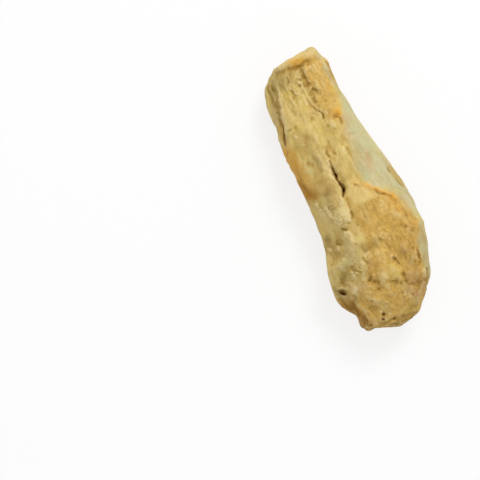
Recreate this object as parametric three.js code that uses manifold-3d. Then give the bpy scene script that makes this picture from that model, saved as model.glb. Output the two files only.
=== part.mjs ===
// A dried, peeled orris root: the rhizome of an iris, lying on its flattest side.
//
// It grew as one piece, so it is one closed solid: a gnarled tapering body with a blunt narrow end, a broad
// pitted end, knife facets left by the peeling, furrows where it shrank as it dried, a long crack that gapes
// on top, a cleft low on the front flank and small round scars where rootlets were cut off.
//
// Millimetres, +Z up, +X towards the broad end. The origin is under the middle of the root, on the surface
// that it rests on.

import * as THREE from "three";
import { mergeVertices } from "three/addons/utils/BufferGeometryUtils.js";
import Module from "manifold-3d";

// ---------------------------------------------------------------- driving dimensions

const RINGS = 82; // rings of vertices between the two ends
const AROUND = 42; // vertices round each ring
const FULLNESS = 2.35; // how squarish a section is: 2 is an ellipse
const SWELL = [0.3, 0.22]; // how far two slow waves push the surface in and out
const MERGE = 1e-4; // vertices closer than this are one

// The body stops at a blunt end on each side. Its radius shrinks over the end's depth by the share in edge,
// and the middle of the end's face lies a little further along +X than its rim.
const NARROW_END = { x: -41.3, outwards: -1, depth: 2.8, edge: 0.16, middle: 0.8, lean: 0.14, rings: 5 };
const BROAD_END = { x: 38.6, outwards: 1, depth: 5.0, edge: 0.6, middle: 0.4, lean: 0, rings: 9 };
const END_TAPER = 0.7; // how much of an end's depth the body goes on tapering for

// The front and back edges in plan, the top and underside lines, and the height of the widest level.
//  x      front   back  crown  belly  waist
const STATIONS = [
  [-43.4, -6.4, 7.6, 15.6, 3.2, 9.2],
  [-41.0, -7.6, 8.3, 16.2, 2.0, 9.0],
  [-38.0, -10.8, 9.9, 16.2, 1.0, 8.6],
  [-34.0, -11.7, 10.4, 16.7, 0.3, 8.2],
  [-30.0, -12.7, 10.1, 17.3, -0.1, 8.0],
  [-26.0, -12.0, 10.2, 18.0, -0.3, 8.2],
  [-20.0, -13.8, 11.4, 18.4, -0.6, 8.3],
  [-12.0, -13.5, 12.6, 18.9, -0.7, 8.5],
  [-4.0, -13.5, 14.2, 19.7, -0.7, 8.8],
  [4.0, -13.2, 16.1, 20.6, -0.7, 9.2],
  [12.0, -13.9, 16.9, 21.5, -0.7, 9.6],
  [20.0, -16.1, 16.8, 21.9, -0.5, 9.8],
  [27.0, -16.9, 14.6, 21.3, 0.0, 9.7],
  [33.0, -15.0, 12.6, 19.4, 1.4, 9.6],
  [36.5, -13.5, 9.9, 17.7, 2.6, 9.4],
  [39.0, -13.4, 7.6, 16.2, 3.6, 9.2],
  [41.0, -11.8, 5.8, 14.8, 4.6, 9.0],
  [42.5, -9.4, 5.2, 13.8, 5.5, 9.0],
];

const profile = new THREE.CubicInterpolant(
  STATIONS.map(([x]) => x),
  STATIONS.flatMap(([, ...levels]) => levels),
  STATIONS[0].length - 1,
);

/** The section at x: its middle and half width in plan, and its top, bottom and widest levels. */
function sectionAt(x) {
  const [front, back, crown, belly, waist] = profile.evaluate(x);
  return { middle: (front + back) / 2, half: (back - front) / 2, crown, belly, waist };
}

/** How far the superellipse reaches on one axis, where the other axis is at this share of its own reach. */
function reachAt(share) {
  const rest = 1 - Math.pow(Math.min(1, Math.abs(share)), FULLNESS);
  return Math.pow(rest, 1 / FULLNESS);
}

/** The point of the smooth body above (x, y). */
function top(x, y) {
  const s = sectionAt(x);
  return new THREE.Vector3(x, y, s.waist + (s.crown - s.waist) * reachAt((y - s.middle) / s.half));
}

/** The point of the smooth body under (x, y). */
function under(x, y) {
  const s = sectionAt(x);
  return new THREE.Vector3(x, y, s.waist - (s.waist - s.belly) * reachAt((y - s.middle) / s.half));
}

/** The point of the smooth body at (x, z) on one flank: -1 is the front and 1 the back. */
function flank(x, z, side) {
  const s = sectionAt(x);
  const tallest = z > s.waist ? s.crown - s.waist : s.waist - s.belly;
  return new THREE.Vector3(x, s.middle + side * s.half * reachAt((z - s.waist) / tallest), z);
}

const front = (x, z) => flank(x, z, -1);
const back = (x, z) => flank(x, z, 1);

// ---------------------------------------------------------------- what shapes the body

// Knife facets. Whatever stands past each plane is sliced off, between two ends along X. keep is the share of
// it that stays, and slant is how far the ends drift along +X for every millimetre towards the back.
const FACETS = [
  // the long peeled face along the back
  { point: [-8, 7.5, 17.6], normal: [0.04, 0.56, 0.83], keep: 0.25, ends: [-38, -2], slant: 0.8 },
  // low on the front, under the crack
  { point: [4, -11.6, 13.4], normal: [0.03, -0.84, 0.54], keep: 0.35, ends: [-4, 26], slant: 0.5 },
  // across the front shoulder
  { point: [24, -12.8, 15.2], normal: [0.1, -0.72, 0.69], keep: 0.3, ends: [12, 40], slant: -0.4 },
  // the back shoulder of the broad end
  { point: [34, 9.6, 14.6], normal: [0.5, 0.66, 0.56], keep: 0.35, ends: [22, 52], slant: 0 },
  // under the narrow end
  { point: [-32, -5, 1.6], normal: [-0.3, -0.25, -0.92], keep: 0.4, ends: [-52, -18], slant: 0 },
  // along the back of the underside
  { point: [10, 10, 2.8], normal: [0, 0.5, -0.87], keep: 0.3, ends: [-26, 34], slant: 0 },
];
const FACET_FADE = 6; // how far a facet's ends fade out over

// Furrows and hollows, each along a route on the surface. A negative depth raises a ridge or a lump.
const RELIEF = [
  // on top of the narrow end: its rim, the groove behind that, and two long wrinkles
  { depth: -0.35, width: 1.1, route: [top(-42, 6), top(-42.1, 0), top(-41.8, -5)] },
  { depth: 0.7, width: 1.1, route: [top(-39.9, 6.5), top(-40, 0), top(-39.8, -6.5)] },
  { depth: 0.8, width: 1.5, route: [top(-40, 1.2), top(-34, 1.3), top(-28, 0.6), top(-22, 1.6)] },
  { depth: 0.5, width: 1.2, route: [top(-39, -2.4), top(-33, -1.6), top(-27, -0.8)] },
  // the furrow that the crack opens in, the ridge in front of it, and the drop where that ridge stops
  { depth: 1.0, width: 1.7, route: [top(-18, 0.2), top(-9, -1.6), top(0, -1.8), top(9, -1.9)] },
  { depth: -0.8, width: 2.2, route: [top(-12, -4), top(-4, -4.3), top(3, -4.2), top(8.5, -4.2)] },
  { depth: 0.8, width: 1.2, route: [top(9.8, -2.6), top(10, -6.6)] },
  // a broad hollow on the front slope, and a lump between that and the broad end
  { depth: 0.8, width: 2.4, route: [top(-24, -6.6), top(-14, -7), top(-5, -7.6)] },
  { depth: -0.7, width: 3.0, route: [top(15, -6), top(20, -6.4)] },
  // the step where the long peeled face stops
  { depth: -0.7, width: 1.6, route: [top(1.5, 6), top(5, 9.8), top(10, 12.6), top(16, 13.9)] },
  // the lump on top of the broad end, between a crack behind it and a furrow in front
  { depth: -0.7, width: 4.2, route: [top(24, 0.4), top(28, 0.6)] },
  { depth: 0.7, width: 1.3, route: [top(18, 2.6), top(24, 4.2), top(30, 4.9), top(34, 6.4)] },
  { depth: 0.8, width: 1.4, route: [top(17, -1.4), top(20, -4), top(27, -4.3), top(31, -3.8)] },
  // the front of the broad end: a thumb hollow, a dip, a broken edge and a knob
  { depth: 1.0, width: 2.1, route: [top(22.5, -11.2), top(25.5, -12.2)] },
  { depth: 0.7, width: 1.8, route: [top(34, -8.4), top(36.5, -8)] },
  { depth: 0.7, width: 1.4, route: [front(29, 12.5), top(34, -12.6), front(39, 11.4)] },
  { depth: -0.6, width: 1.9, route: [front(39, 10.4), front(41.4, 10)] },
  // the fold along the front flank, the lip below it, and a long furrow
  { depth: 1.5, width: 1.3, route: [front(-38, 12.4), front(-33, 12.2), front(-27, 12), front(-19, 12.4)] },
  { depth: -0.5, width: 2.2, route: [front(-36, 9.6), front(-30, 9), front(-22, 9.2)] },
  { depth: 0.9, width: 1.9, route: [front(-14, 6), front(0, 5.4), front(14, 6.2), front(26, 7.4)] },
  // the back flank: a long furrow, and a fold beside the broad end
  { depth: 0.9, width: 1.9, route: [back(-36, 8.4), back(-22, 7.6), back(-8, 6.8), back(6, 7.4)] },
  { depth: 0.9, width: 1.6, route: [back(14, 9.6), back(24, 8.4), back(34, 9)] },
  // hollows underneath, either side of the flat patch
  { depth: 0.8, width: 3.0, route: [under(-37, -1), under(-30, 0.5)] },
  { depth: 1.0, width: 3.4, route: [under(31, -4), under(36, -1)] },
];
const SAMPLES = 8; // points that a route is sampled at, for each of its own

const CRACK = { from: -7.6, to: 1.4, y: -1.75, width: 0.9, bow: 0.35, depth: 5.2 }; // its open stretch
const CLEFT = { from: -26, to: -20.4, z: 12.2, width: 0.8, depth: 2.6 }; // in the fold on the front flank
const SCARS = [
  { at: top(27.5, -13.6), radius: 0.95, depth: 2.6 }, // on the front shoulder
  { at: top(38.9, -5.5), radius: 0.6, depth: 1.8 }, // on the broad end
  { at: top(40.1, -10.4), radius: 0.5, depth: 1.6 }, // on the knob
  { at: top(13.3, -9.3), radius: 0.7, depth: 1.0 }, // on the front facet
  { at: top(24.1, 4.1), radius: 0.5, depth: 1.0 }, // in the crack behind the lump
];
const SCAR_MOUTH = 1.2; // how far a scar's cutter stands out of the surface
const SCAR_SIDES = 9;

// ---------------------------------------------------------------- the body's surface

/** An end's share of the lathe profile: a quarter turn over its edge, then straight in to the axis. */
function endPoints({ x, outwards, depth, edge, rings }) {
  const points = [];
  for (let i = 1; i <= rings; i += 1) {
    const turn = (i / rings) * (Math.PI / 2);
    points.push(new THREE.Vector2(1 - edge * (1 - Math.cos(turn)), x + outwards * depth * Math.sin(turn)));
  }
  const inner = Math.max(2, Math.round((1 - edge) * rings));
  for (let i = 1; i <= inner; i += 1) {
    points.push(new THREE.Vector2((1 - edge) * (1 - i / inner), x + outwards * depth));
  }
  return points;
}

/** The lathe profile from one pole to the other, with a radius of 1 along the body. */
function lathePoints() {
  const body = [];
  for (let i = 0; i <= RINGS; i += 1) {
    body.push(new THREE.Vector2(1, THREE.MathUtils.lerp(NARROW_END.x, BROAD_END.x, i / RINGS)));
  }
  return [...endPoints(NARROW_END).reverse(), ...body, ...endPoints(BROAD_END)];
}

/** The section that rules at x, held at the ends' own sections beyond them. */
function sectionNear(x) {
  return sectionAt(THREE.MathUtils.clamp(x, NARROW_END.x, BROAD_END.x));
}

/** The direction from a point straight in to the middle of its section. */
function inwardFrom(point) {
  const s = sectionNear(point.x);
  return new THREE.Vector3(0, s.middle - point.y, s.waist - point.z).normalize();
}

const signedPower = (value, power) => Math.sign(value) * Math.pow(Math.abs(value), power);

/** Moves a point of the plain lathe, whose axis is Y and whose radius is 1, to the smooth body. */
function toBody(point) {
  const radius = Math.hypot(point.x, point.z);
  const angle = Math.atan2(-point.z, point.x); // minus, so that swapping the axes leaves no mirror image
  const x = THREE.MathUtils.clamp(point.y, NARROW_END.x, BROAD_END.x);
  const beyond = point.y - x;
  const s = sectionAt(x + END_TAPER * beyond);
  const across = s.half * radius * signedPower(Math.cos(angle), 2 / FULLNESS);
  const up = radius * signedPower(Math.sin(angle), 2 / FULLNESS);
  const height = up > 0 ? s.crown - s.waist : s.waist - s.belly;
  const placed = new THREE.Vector3(x + beyond, s.middle + across, s.waist + height * up);
  const end = beyond < 0 ? NARROW_END : BROAD_END;
  const leant = (end.lean * Math.max(0, -across) * Math.abs(beyond)) / end.depth;
  const inner = Math.max(0, 1 - radius - end.edge) / (1 - end.edge);
  placed.x += leant + end.middle * inner;
  return placed;
}

/** 1 well inside the interval, 0 outside it, with soft ends. */
function within(value, [low, high]) {
  const risen = THREE.MathUtils.smoothstep(value, low, low + FACET_FADE);
  return risen * (1 - THREE.MathUtils.smoothstep(value, high - FACET_FADE, high));
}

function sliceFacets(point) {
  for (const facet of FACETS) {
    const normal = new THREE.Vector3(...facet.normal).normalize();
    const over = point.clone().sub(new THREE.Vector3(...facet.point)).dot(normal);
    const share = (1 - facet.keep) * within(point.x - facet.slant * point.y, facet.ends);
    point.addScaledVector(normal, -Math.max(0, over) * share);
  }
}

function carveRelief(point, routes) {
  const inward = inwardFrom(point);
  const before = point.clone();
  for (const { samples, width, depth } of routes) {
    const distance = Math.min(...samples.map((sample) => sample.distanceTo(before)));
    point.addScaledVector(inward, depth * Math.exp(-((distance / width) ** 2)));
  }
}

/** Slow swells and dips of the whole surface, which no grown thing is without. */
function swell(point) {
  const { x, y, z } = point;
  const slow = Math.sin(0.31 * x + 0.42 * y + 1.3) * Math.sin(0.55 * z - 0.2 * x);
  const quick = Math.sin(0.62 * x - 0.5 * z + 0.4) * Math.sin(0.5 * y + 0.33 * x + 2.1);
  point.addScaledVector(inwardFrom(point), -SWELL[0] * slow - SWELL[1] * quick);
}

function mergedPositions(geometry) {
  const bare = geometry.clone();
  bare.deleteAttribute("normal");
  bare.deleteAttribute("uv");
  return mergeVertices(bare, MERGE);
}

function bodyGeometry() {
  const routes = RELIEF.map(({ route, ...form }) => ({
    ...form,
    samples: new THREE.CatmullRomCurve3(route).getPoints(route.length * SAMPLES),
  }));
  const geometry = mergedPositions(new THREE.LatheGeometry(lathePoints(), AROUND));
  const places = geometry.getAttribute("position");
  for (let i = 0; i < places.count; i += 1) {
    const point = toBody(new THREE.Vector3().fromBufferAttribute(places, i));
    sliceFacets(point);
    carveRelief(point, routes);
    swell(point);
    point.z = Math.max(0, point.z); // the knife-flat patch that it rests on
    places.setXYZ(i, point.x, point.y, point.z);
  }
  return geometry;
}

// ---------------------------------------------------------------- cuts, made with manifold-3d

const wasm = await Module();
wasm.setup();

function solidOf(geometry) {
  const merged = mergedPositions(geometry);
  const vertProperties = merged.getAttribute("position").array;
  const triVerts = new Uint32Array(merged.index.array);
  return new wasm.Manifold(new wasm.Mesh({ numProp: 3, vertProperties, triVerts }));
}

function geometryOf(solid) {
  const mesh = solid.getMesh();
  const geometry = new THREE.BufferGeometry();
  geometry.setAttribute("position", new THREE.BufferAttribute(mesh.vertProperties.slice(), 3));
  geometry.setIndex(new THREE.BufferAttribute(mesh.triVerts.slice(), 1));
  geometry.computeVertexNormals();
  return geometry;
}

/** A spindle-shaped prism, with both its points on the X axis, to push into the surface as a slit. */
function slitCutter({ from, to, width, depth, bow = 0 }) {
  const middle = (from + to) / 2;
  const outline = new THREE.Shape();
  outline.moveTo(from, 0);
  outline.quadraticCurveTo(middle, 2 * bow + width, to, 0);
  outline.quadraticCurveTo(middle, 2 * bow - width, from, 0);
  return new THREE.ExtrudeGeometry(outline, { depth: 2 * depth, bevelEnabled: false, curveSegments: 6 });
}

function crackCutter() {
  const mouth = top((CRACK.from + CRACK.to) / 2, CRACK.y);
  return slitCutter(CRACK).translate(0, CRACK.y, mouth.z - CRACK.depth);
}

function cleftCutter() {
  const mouth = front((CLEFT.from + CLEFT.to) / 2, CLEFT.z);
  return slitCutter(CLEFT).rotateX(Math.PI / 2).translate(0, mouth.y + CLEFT.depth, CLEFT.z);
}

/** A cone with its point inside the root and its mouth open above the surface. */
function scarCutter({ at, radius, depth }) {
  const length = depth + SCAR_MOUTH;
  const inward = inwardFrom(at);
  const turn = new THREE.Quaternion().setFromUnitVectors(new THREE.Vector3(0, 1, 0), inward);
  const tip = at.clone().addScaledVector(inward, depth);
  const cone = new THREE.ConeGeometry((radius * length) / depth, length, SCAR_SIDES);
  return cone.translate(0, -length / 2, 0).applyQuaternion(turn).translate(tip.x, tip.y, tip.z);
}

/** Moves the root so that the origin is under the middle of its bounding box. */
function standOnOrigin(geometry) {
  geometry.computeBoundingBox();
  const { min, max } = geometry.boundingBox;
  return geometry.translate(-(min.x + max.x) / 2, -(min.y + max.y) / 2, -min.z);
}

// ---------------------------------------------------------------- the part

function driedRoot() {
  const cutters = [crackCutter(), cleftCutter(), ...SCARS.map(scarCutter)];
  const solid = cutters.reduce((body, cutter) => body.subtract(solidOf(cutter)), solidOf(bodyGeometry()));
  const skin = new THREE.MeshStandardMaterial({ color: 0xc9ad6c, roughness: 0.85, metalness: 0 });
  const mesh = new THREE.Mesh(standOnOrigin(geometryOf(solid)), skin);
  mesh.name = "orris_root";
  return mesh;
}

const root = new THREE.Group();
root.add(driedRoot());

export default root;
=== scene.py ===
"""A dried, peeled orris root, lying on its flattest side on a pale floor.

The CAD solid gives the root its body. It is turned into a block of voxels here, smoothed, and carved again
with everything that the solid is too coarse to hold: the open crack, wrinkles, knife facets, flaked edges,
rootlet scars and the grain of the rough skin. Where to carve and what to colour is drawn on four flat charts
of the surface: one seen from above, one unrolled round the root, and one for each end face.

Lengths are millimetres until the finished mesh is made, in the frame of the CAD part.
"""

import itertools
import math

import bmesh
import bpy
import numpy as np
import openvdb
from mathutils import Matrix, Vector


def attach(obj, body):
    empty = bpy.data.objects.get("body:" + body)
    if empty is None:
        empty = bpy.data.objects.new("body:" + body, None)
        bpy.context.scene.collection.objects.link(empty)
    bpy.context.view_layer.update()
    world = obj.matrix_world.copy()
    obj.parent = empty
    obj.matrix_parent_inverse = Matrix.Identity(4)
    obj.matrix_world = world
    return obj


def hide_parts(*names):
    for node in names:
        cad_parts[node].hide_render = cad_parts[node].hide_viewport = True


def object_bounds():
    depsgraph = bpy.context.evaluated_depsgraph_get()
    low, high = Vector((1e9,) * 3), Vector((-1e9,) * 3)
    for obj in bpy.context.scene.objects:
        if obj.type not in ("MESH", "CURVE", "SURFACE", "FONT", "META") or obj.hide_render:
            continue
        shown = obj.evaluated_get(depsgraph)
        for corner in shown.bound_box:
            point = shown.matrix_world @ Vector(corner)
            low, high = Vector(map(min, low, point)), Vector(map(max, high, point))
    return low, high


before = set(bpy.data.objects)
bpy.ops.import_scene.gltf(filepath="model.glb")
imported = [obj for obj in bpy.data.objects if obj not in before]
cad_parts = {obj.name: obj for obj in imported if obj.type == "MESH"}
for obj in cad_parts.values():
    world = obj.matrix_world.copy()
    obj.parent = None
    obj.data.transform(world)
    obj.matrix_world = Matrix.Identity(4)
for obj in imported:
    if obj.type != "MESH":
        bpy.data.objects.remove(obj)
cad_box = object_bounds()

MM = 0.001
ROOT = "orris_root"

# ------------------------------------------------------------------------------------ sizes, in mm

VOXEL = 0.21
PAD = 2.0  # empty voxels kept round the root
SKIN = 5.6  # how deep the distance to the surface is known, which is deeper than the crack
OUTSIDE = 3.0  # the distance that stands for all the empty space past the voxels
SMOOTHING = 0.6  # how far the CAD solid's facets are blurred
EDGE_WEAR = 0.3  # how far the edges of the knife's cuts are blurred
RELIEF_REACH = 1.4  # how far outside the surface the relief is still carved
GRAIN_DEPTH = 1.3  # how near the surface the grain is carved
CHART_STEP = 0.12
GIRTH = 12.0  # the radius that the root is unrolled at
MOST_TRIANGLES = 194_000

THINNEST = 20.0  # square mm: where a section is smaller, the middle line is held
LINE_SMOOTHING = 2  # how far the middle line is blurred along the root
CLEAR_OF_TIPS = 0.3  # of a knife stroke's half length: where its slope is measured
TOP_FROM, TOP_FULL = -0.2, 2.4  # how far over the widest height the top chart begins, and rules alone
END_FACE = (0.72, 0.92)  # how squarely a place faces along x where the end charts begin, and rule alone
NARROW_RIM = (12.0, 14.5)  # the heights between which the narrow end's face gives way to its rim
WANDER_FROM, WANDER_FULL = 6, 1  # how far over the widest height edges begin to wander, and do so in full
# SUNK sets the painted shade in recesses: it is darkest this deep under the smooth form
SUNK = 3.0  # how deep under the smooth form the colour is darkest
# the crest heights set painted highlights on crests and painted shade in hollows
CRESTS = (("fine_highlight_and_shade", 0.35, 0.12), ("raised", 1.1, 0.35))  # how wide each kind of crest is, and how high

SKY = 0.6  # how bright the studio is all round
KEY = 4.6  # watts in the one lamp
KEY_FROM = (-0.72, 0.69, 1.15)  # the direction that its light comes from
KEY_DISTANCE = 1.0  # metres, as are the next two
KEY_SIZE = 0.4
FLOOR_HALF = 3.0
PAPER_WHITE = 1.03  # how bright the paper is where it is lifted
PAPER_LIFT = 0.75  # how much of it the camera sees lifted

FRAME_WIDTH = 144.0  # what the camera's frame spans, at the middle of the root's height
LENS = 120.0
SENSOR = 36.0
FRAME_CENTRE = (0.8, -36.0)
CAMERA_ROLL = math.radians(66.4)
CAMERA_HEIGHT = FRAME_WIDTH * LENS / SENSOR  # above the middle of the root's height
MIDDLE_HEIGHT = (cad_box[0][2] + cad_box[1][2]) / 2 / MM

# ------------------------------------------------------------------------------------ noise

GRADIENTS = np.random.default_rng(11).normal(size=(1024, 3)).astype(np.float32)
GRADIENTS /= np.linalg.norm(GRADIENTS, axis=1, keepdims=True)
SCRAMBLE = [np.uint32(prime) for prime in (73856093, 19349663, 83492791, 2246822519)]


def noise(x, y, z, seed=0):
    """Smooth noise in space, from about -1 to 1, with features about 1 across."""
    where = [np.asarray(a, np.float32) for a in np.broadcast_arrays(x, y, z)]
    floors = [np.floor(a) for a in where]
    local = [a - low for a, low in zip(where, floors)]
    fade = [t * t * t * (t * (t * 6 - 15) + 10) for t in local]
    cells = [low.astype(np.int32).astype(np.uint32) for low in floors]
    keys = [[(cell + np.uint32(step)) * prime for step in (0, 1)] for cell, prime in zip(cells, SCRAMBLE)]
    total = np.zeros(where[0].shape, np.float32)
    for corner in itertools.product((0, 1), repeat=3):
        key = keys[0][corner[0]] ^ keys[1][corner[1]] ^ keys[2][corner[2]] ^ np.uint32(seed * 7919 + 17)
        key = (key ^ (key >> np.uint32(15))) * SCRAMBLE[3]
        gradient = GRADIENTS[(key >> np.uint32(13)) & np.uint32(1023)]
        weight = np.float32(1)
        lean = np.float32(0)
        for axis, step in enumerate(corner):
            weight = weight * (fade[axis] if step else 1 - fade[axis])
            lean = lean + (local[axis] - step) * gradient[..., axis]
        total += weight * lean
    return total * 1.6


def layered(x, y, z, seed=0, layers=3):
    """Noise with finer and finer noise on it."""
    total = 0
    for layer in range(layers):
        scale = 2**layer
        total = total + noise(x * scale, y * scale, z * scale, seed + layer) / scale
    return total


def ramp(value, low, high):
    """0 up to low, 1 from high on, and a smooth rise between. low may be above high."""
    share = np.clip((value - low) / (high - low), 0, 1)
    return share * share * (3 - 2 * share)


def bell(distance, width):
    return np.exp(-((distance / width) ** 2))


def blurred(field, cells):
    """The field with every axis blurred by a bell curve of that many cells."""
    reach = int(math.ceil(2.7 * cells))
    weights = bell(np.arange(-reach, reach + 1), math.sqrt(2) * cells)
    weights = (weights / weights.sum()).astype(np.float32)
    for axis, length in enumerate(field.shape):
        padding = [(0, 0)] * field.ndim
        padding[axis] = (reach, reach)
        padded = np.moveaxis(np.pad(field, padding, mode="edge"), axis, 0)
        total = np.zeros((length, *padded.shape[1:]), np.float32)
        for step, weight in enumerate(weights):
            total += weight * padded[step : step + length]
        field = np.moveaxis(total, 0, axis)
    return np.ascontiguousarray(field)


def sampled(field, *places):
    """The field at fractional cell places, straight-line interpolated and held at its edges."""
    lows, shares = [], []
    for place, size in zip(places, field.shape):
        place = np.clip(place, 0, size - 1.001)
        low = place.astype(np.int64)
        lows.append(low)
        shares.append((place - low).astype(np.float32))
    total = 0
    for corner in itertools.product((0, 1), repeat=field.ndim):
        weight = 1
        for step, share in zip(corner, shares):
            weight = weight * (share if step else 1 - share)
        total = total + weight * field[tuple(low + step for low, step in zip(lows, corner))]
    return total


# ------------------------------------------------------------------------------------ the voxel block


class Block:
    """The root in voxels: at each, the distance to its surface, negative inside."""

    def __init__(self, mesh):
        count = len(mesh.vertices)
        points = np.empty(count * 3, np.float32)
        mesh.vertices.foreach_get("co", points)
        points = points.reshape(-1, 3) / MM
        mesh.calc_loop_triangles()
        corners = np.empty(len(mesh.loop_triangles) * 3, np.int32)
        mesh.loop_triangles.foreach_get("vertices", corners)
        solid = openvdb.FloatGrid.createLevelSetFromPolygons(
            points,
            triangles=corners.reshape(-1, 3).astype(np.uint32),
            transform=openvdb.createLinearTransform(voxelSize=VOXEL),
            halfWidth=SKIN / VOXEL,
        )
        self.low = np.floor((points.min(0) - PAD) / VOXEL).astype(int)
        high = np.ceil((points.max(0) + PAD) / VOXEL).astype(int)
        self.depth = np.zeros(high - self.low + 1, np.float32)
        solid.copyToArray(self.depth, ijk=tuple(int(i) for i in self.low))
        self.depth = blurred(self.depth, SMOOTHING / VOXEL)

    def axes(self):
        """The x, y and z of the voxels, each shaped to broadcast along its own axis."""
        lines = [(np.arange(n) + low) * VOXEL for n, low in zip(self.depth.shape, self.low)]
        return np.ix_(*[line.astype(np.float32) for line in lines])

    def near(self, low, high):
        """The voxels whose surface distance is between two values: their index and their x, y and z."""
        index = np.nonzero((self.depth > low) & (self.depth < high))
        places = [((i + corner) * VOXEL).astype(np.float32) for i, corner in zip(index, self.low)]
        return index, places

    def sample(self, field, x, y, z):
        return sampled(field, *[p / VOXEL - corner for p, corner in zip((x, y, z), self.low)])

    def middle_line(self):
        """Along x: the y and z of the middle of the root, and the height at which it is widest."""
        inside = self.depth < 0
        x, y, z = self.axes()
        filled = np.maximum(inside.sum((1, 2)), 1)
        breadth = inside.sum(1)
        widest = breadth >= 0.96 * breadth.max(1, keepdims=True)  # nearly, as one row of voxels is uneven
        columns = (
            (inside * y).sum((1, 2)) / filled,
            (inside * z).sum((1, 2)) / filled,
            (widest * z.reshape(1, -1)).sum(1) / np.maximum(widest.sum(1), 1),
        )
        line = x.ravel()
        solid = filled * VOXEL**2 > THINNEST
        columns = [np.interp(line, line[solid], column[solid]) for column in columns]
        return line, *[blurred(column, LINE_SMOOTHING / VOXEL) for column in columns]

    def pare(self, middle, half, turn, deep):
        """One stroke of the knife: a flat that is this deep at its middle and runs out at both ends.

        turn is in degrees round the root: 0 underneath, 90 at the back, -90 at the front.
        """
        x, y, z = self.axes()
        sin, cos = math.sin(math.radians(turn)), math.cos(math.radians(turn))
        over = (y * sin - z * cos)[0]
        step = CLEAR_OF_TIPS * half
        reach = []
        for at in (middle - step, middle + step):
            section = self.depth[int(at / VOXEL - self.low[0])]
            reach.append(over[section < 0].max())
        slope = (reach[1] - reach[0]) / (2 * step)
        blade = (reach[0] + reach[1]) / 2 + slope * (x - middle) + deep * (((x - middle) / half) ** 4 - 1)
        self.depth = np.maximum(self.depth, over[None] - blade)

    def press(self, at, size, deep):
        """A soft hollow of this size along each axis, or a swelling where the depth is negative."""
        self.depth += deep * np.exp(-sum(((line - a) / s) ** 2 for line, a, s in zip(self.axes(), at, size)))

    def trim(self, normal, reach):
        """Cuts off what lies further along a direction than this."""
        self.depth = np.maximum(self.depth, sum(line * n for line, n in zip(self.axes(), normal)) - reach)

    def stump(self, at, size):
        """Joins on an egg-shaped knob."""
        egg = np.sqrt(sum(((line - a) / s) ** 2 for line, a, s in zip(self.axes(), at, size))) - 1
        self.depth = np.minimum(self.depth, np.float32(min(size)) * egg)

    def settle(self):
        """Rounds the edges that the knife left, and keeps the form before any fine carving."""
        self.depth = blurred(self.depth, EDGE_WEAR / VOXEL)
        self.smooth = self.depth.copy()

    def polygons(self):
        grid = openvdb.FloatGrid()
        grid.background = OUTSIDE
        grid.transform = openvdb.createLinearTransform(voxelSize=VOXEL)
        grid.copyFromArray(self.depth, ijk=tuple(int(i) for i in self.low), tolerance=0.0)
        points, quads = grid.convertToQuads(isovalue=0.0)
        return points, quads[:, ::-1]


# ------------------------------------------------------------------------------------ the charts


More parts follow.
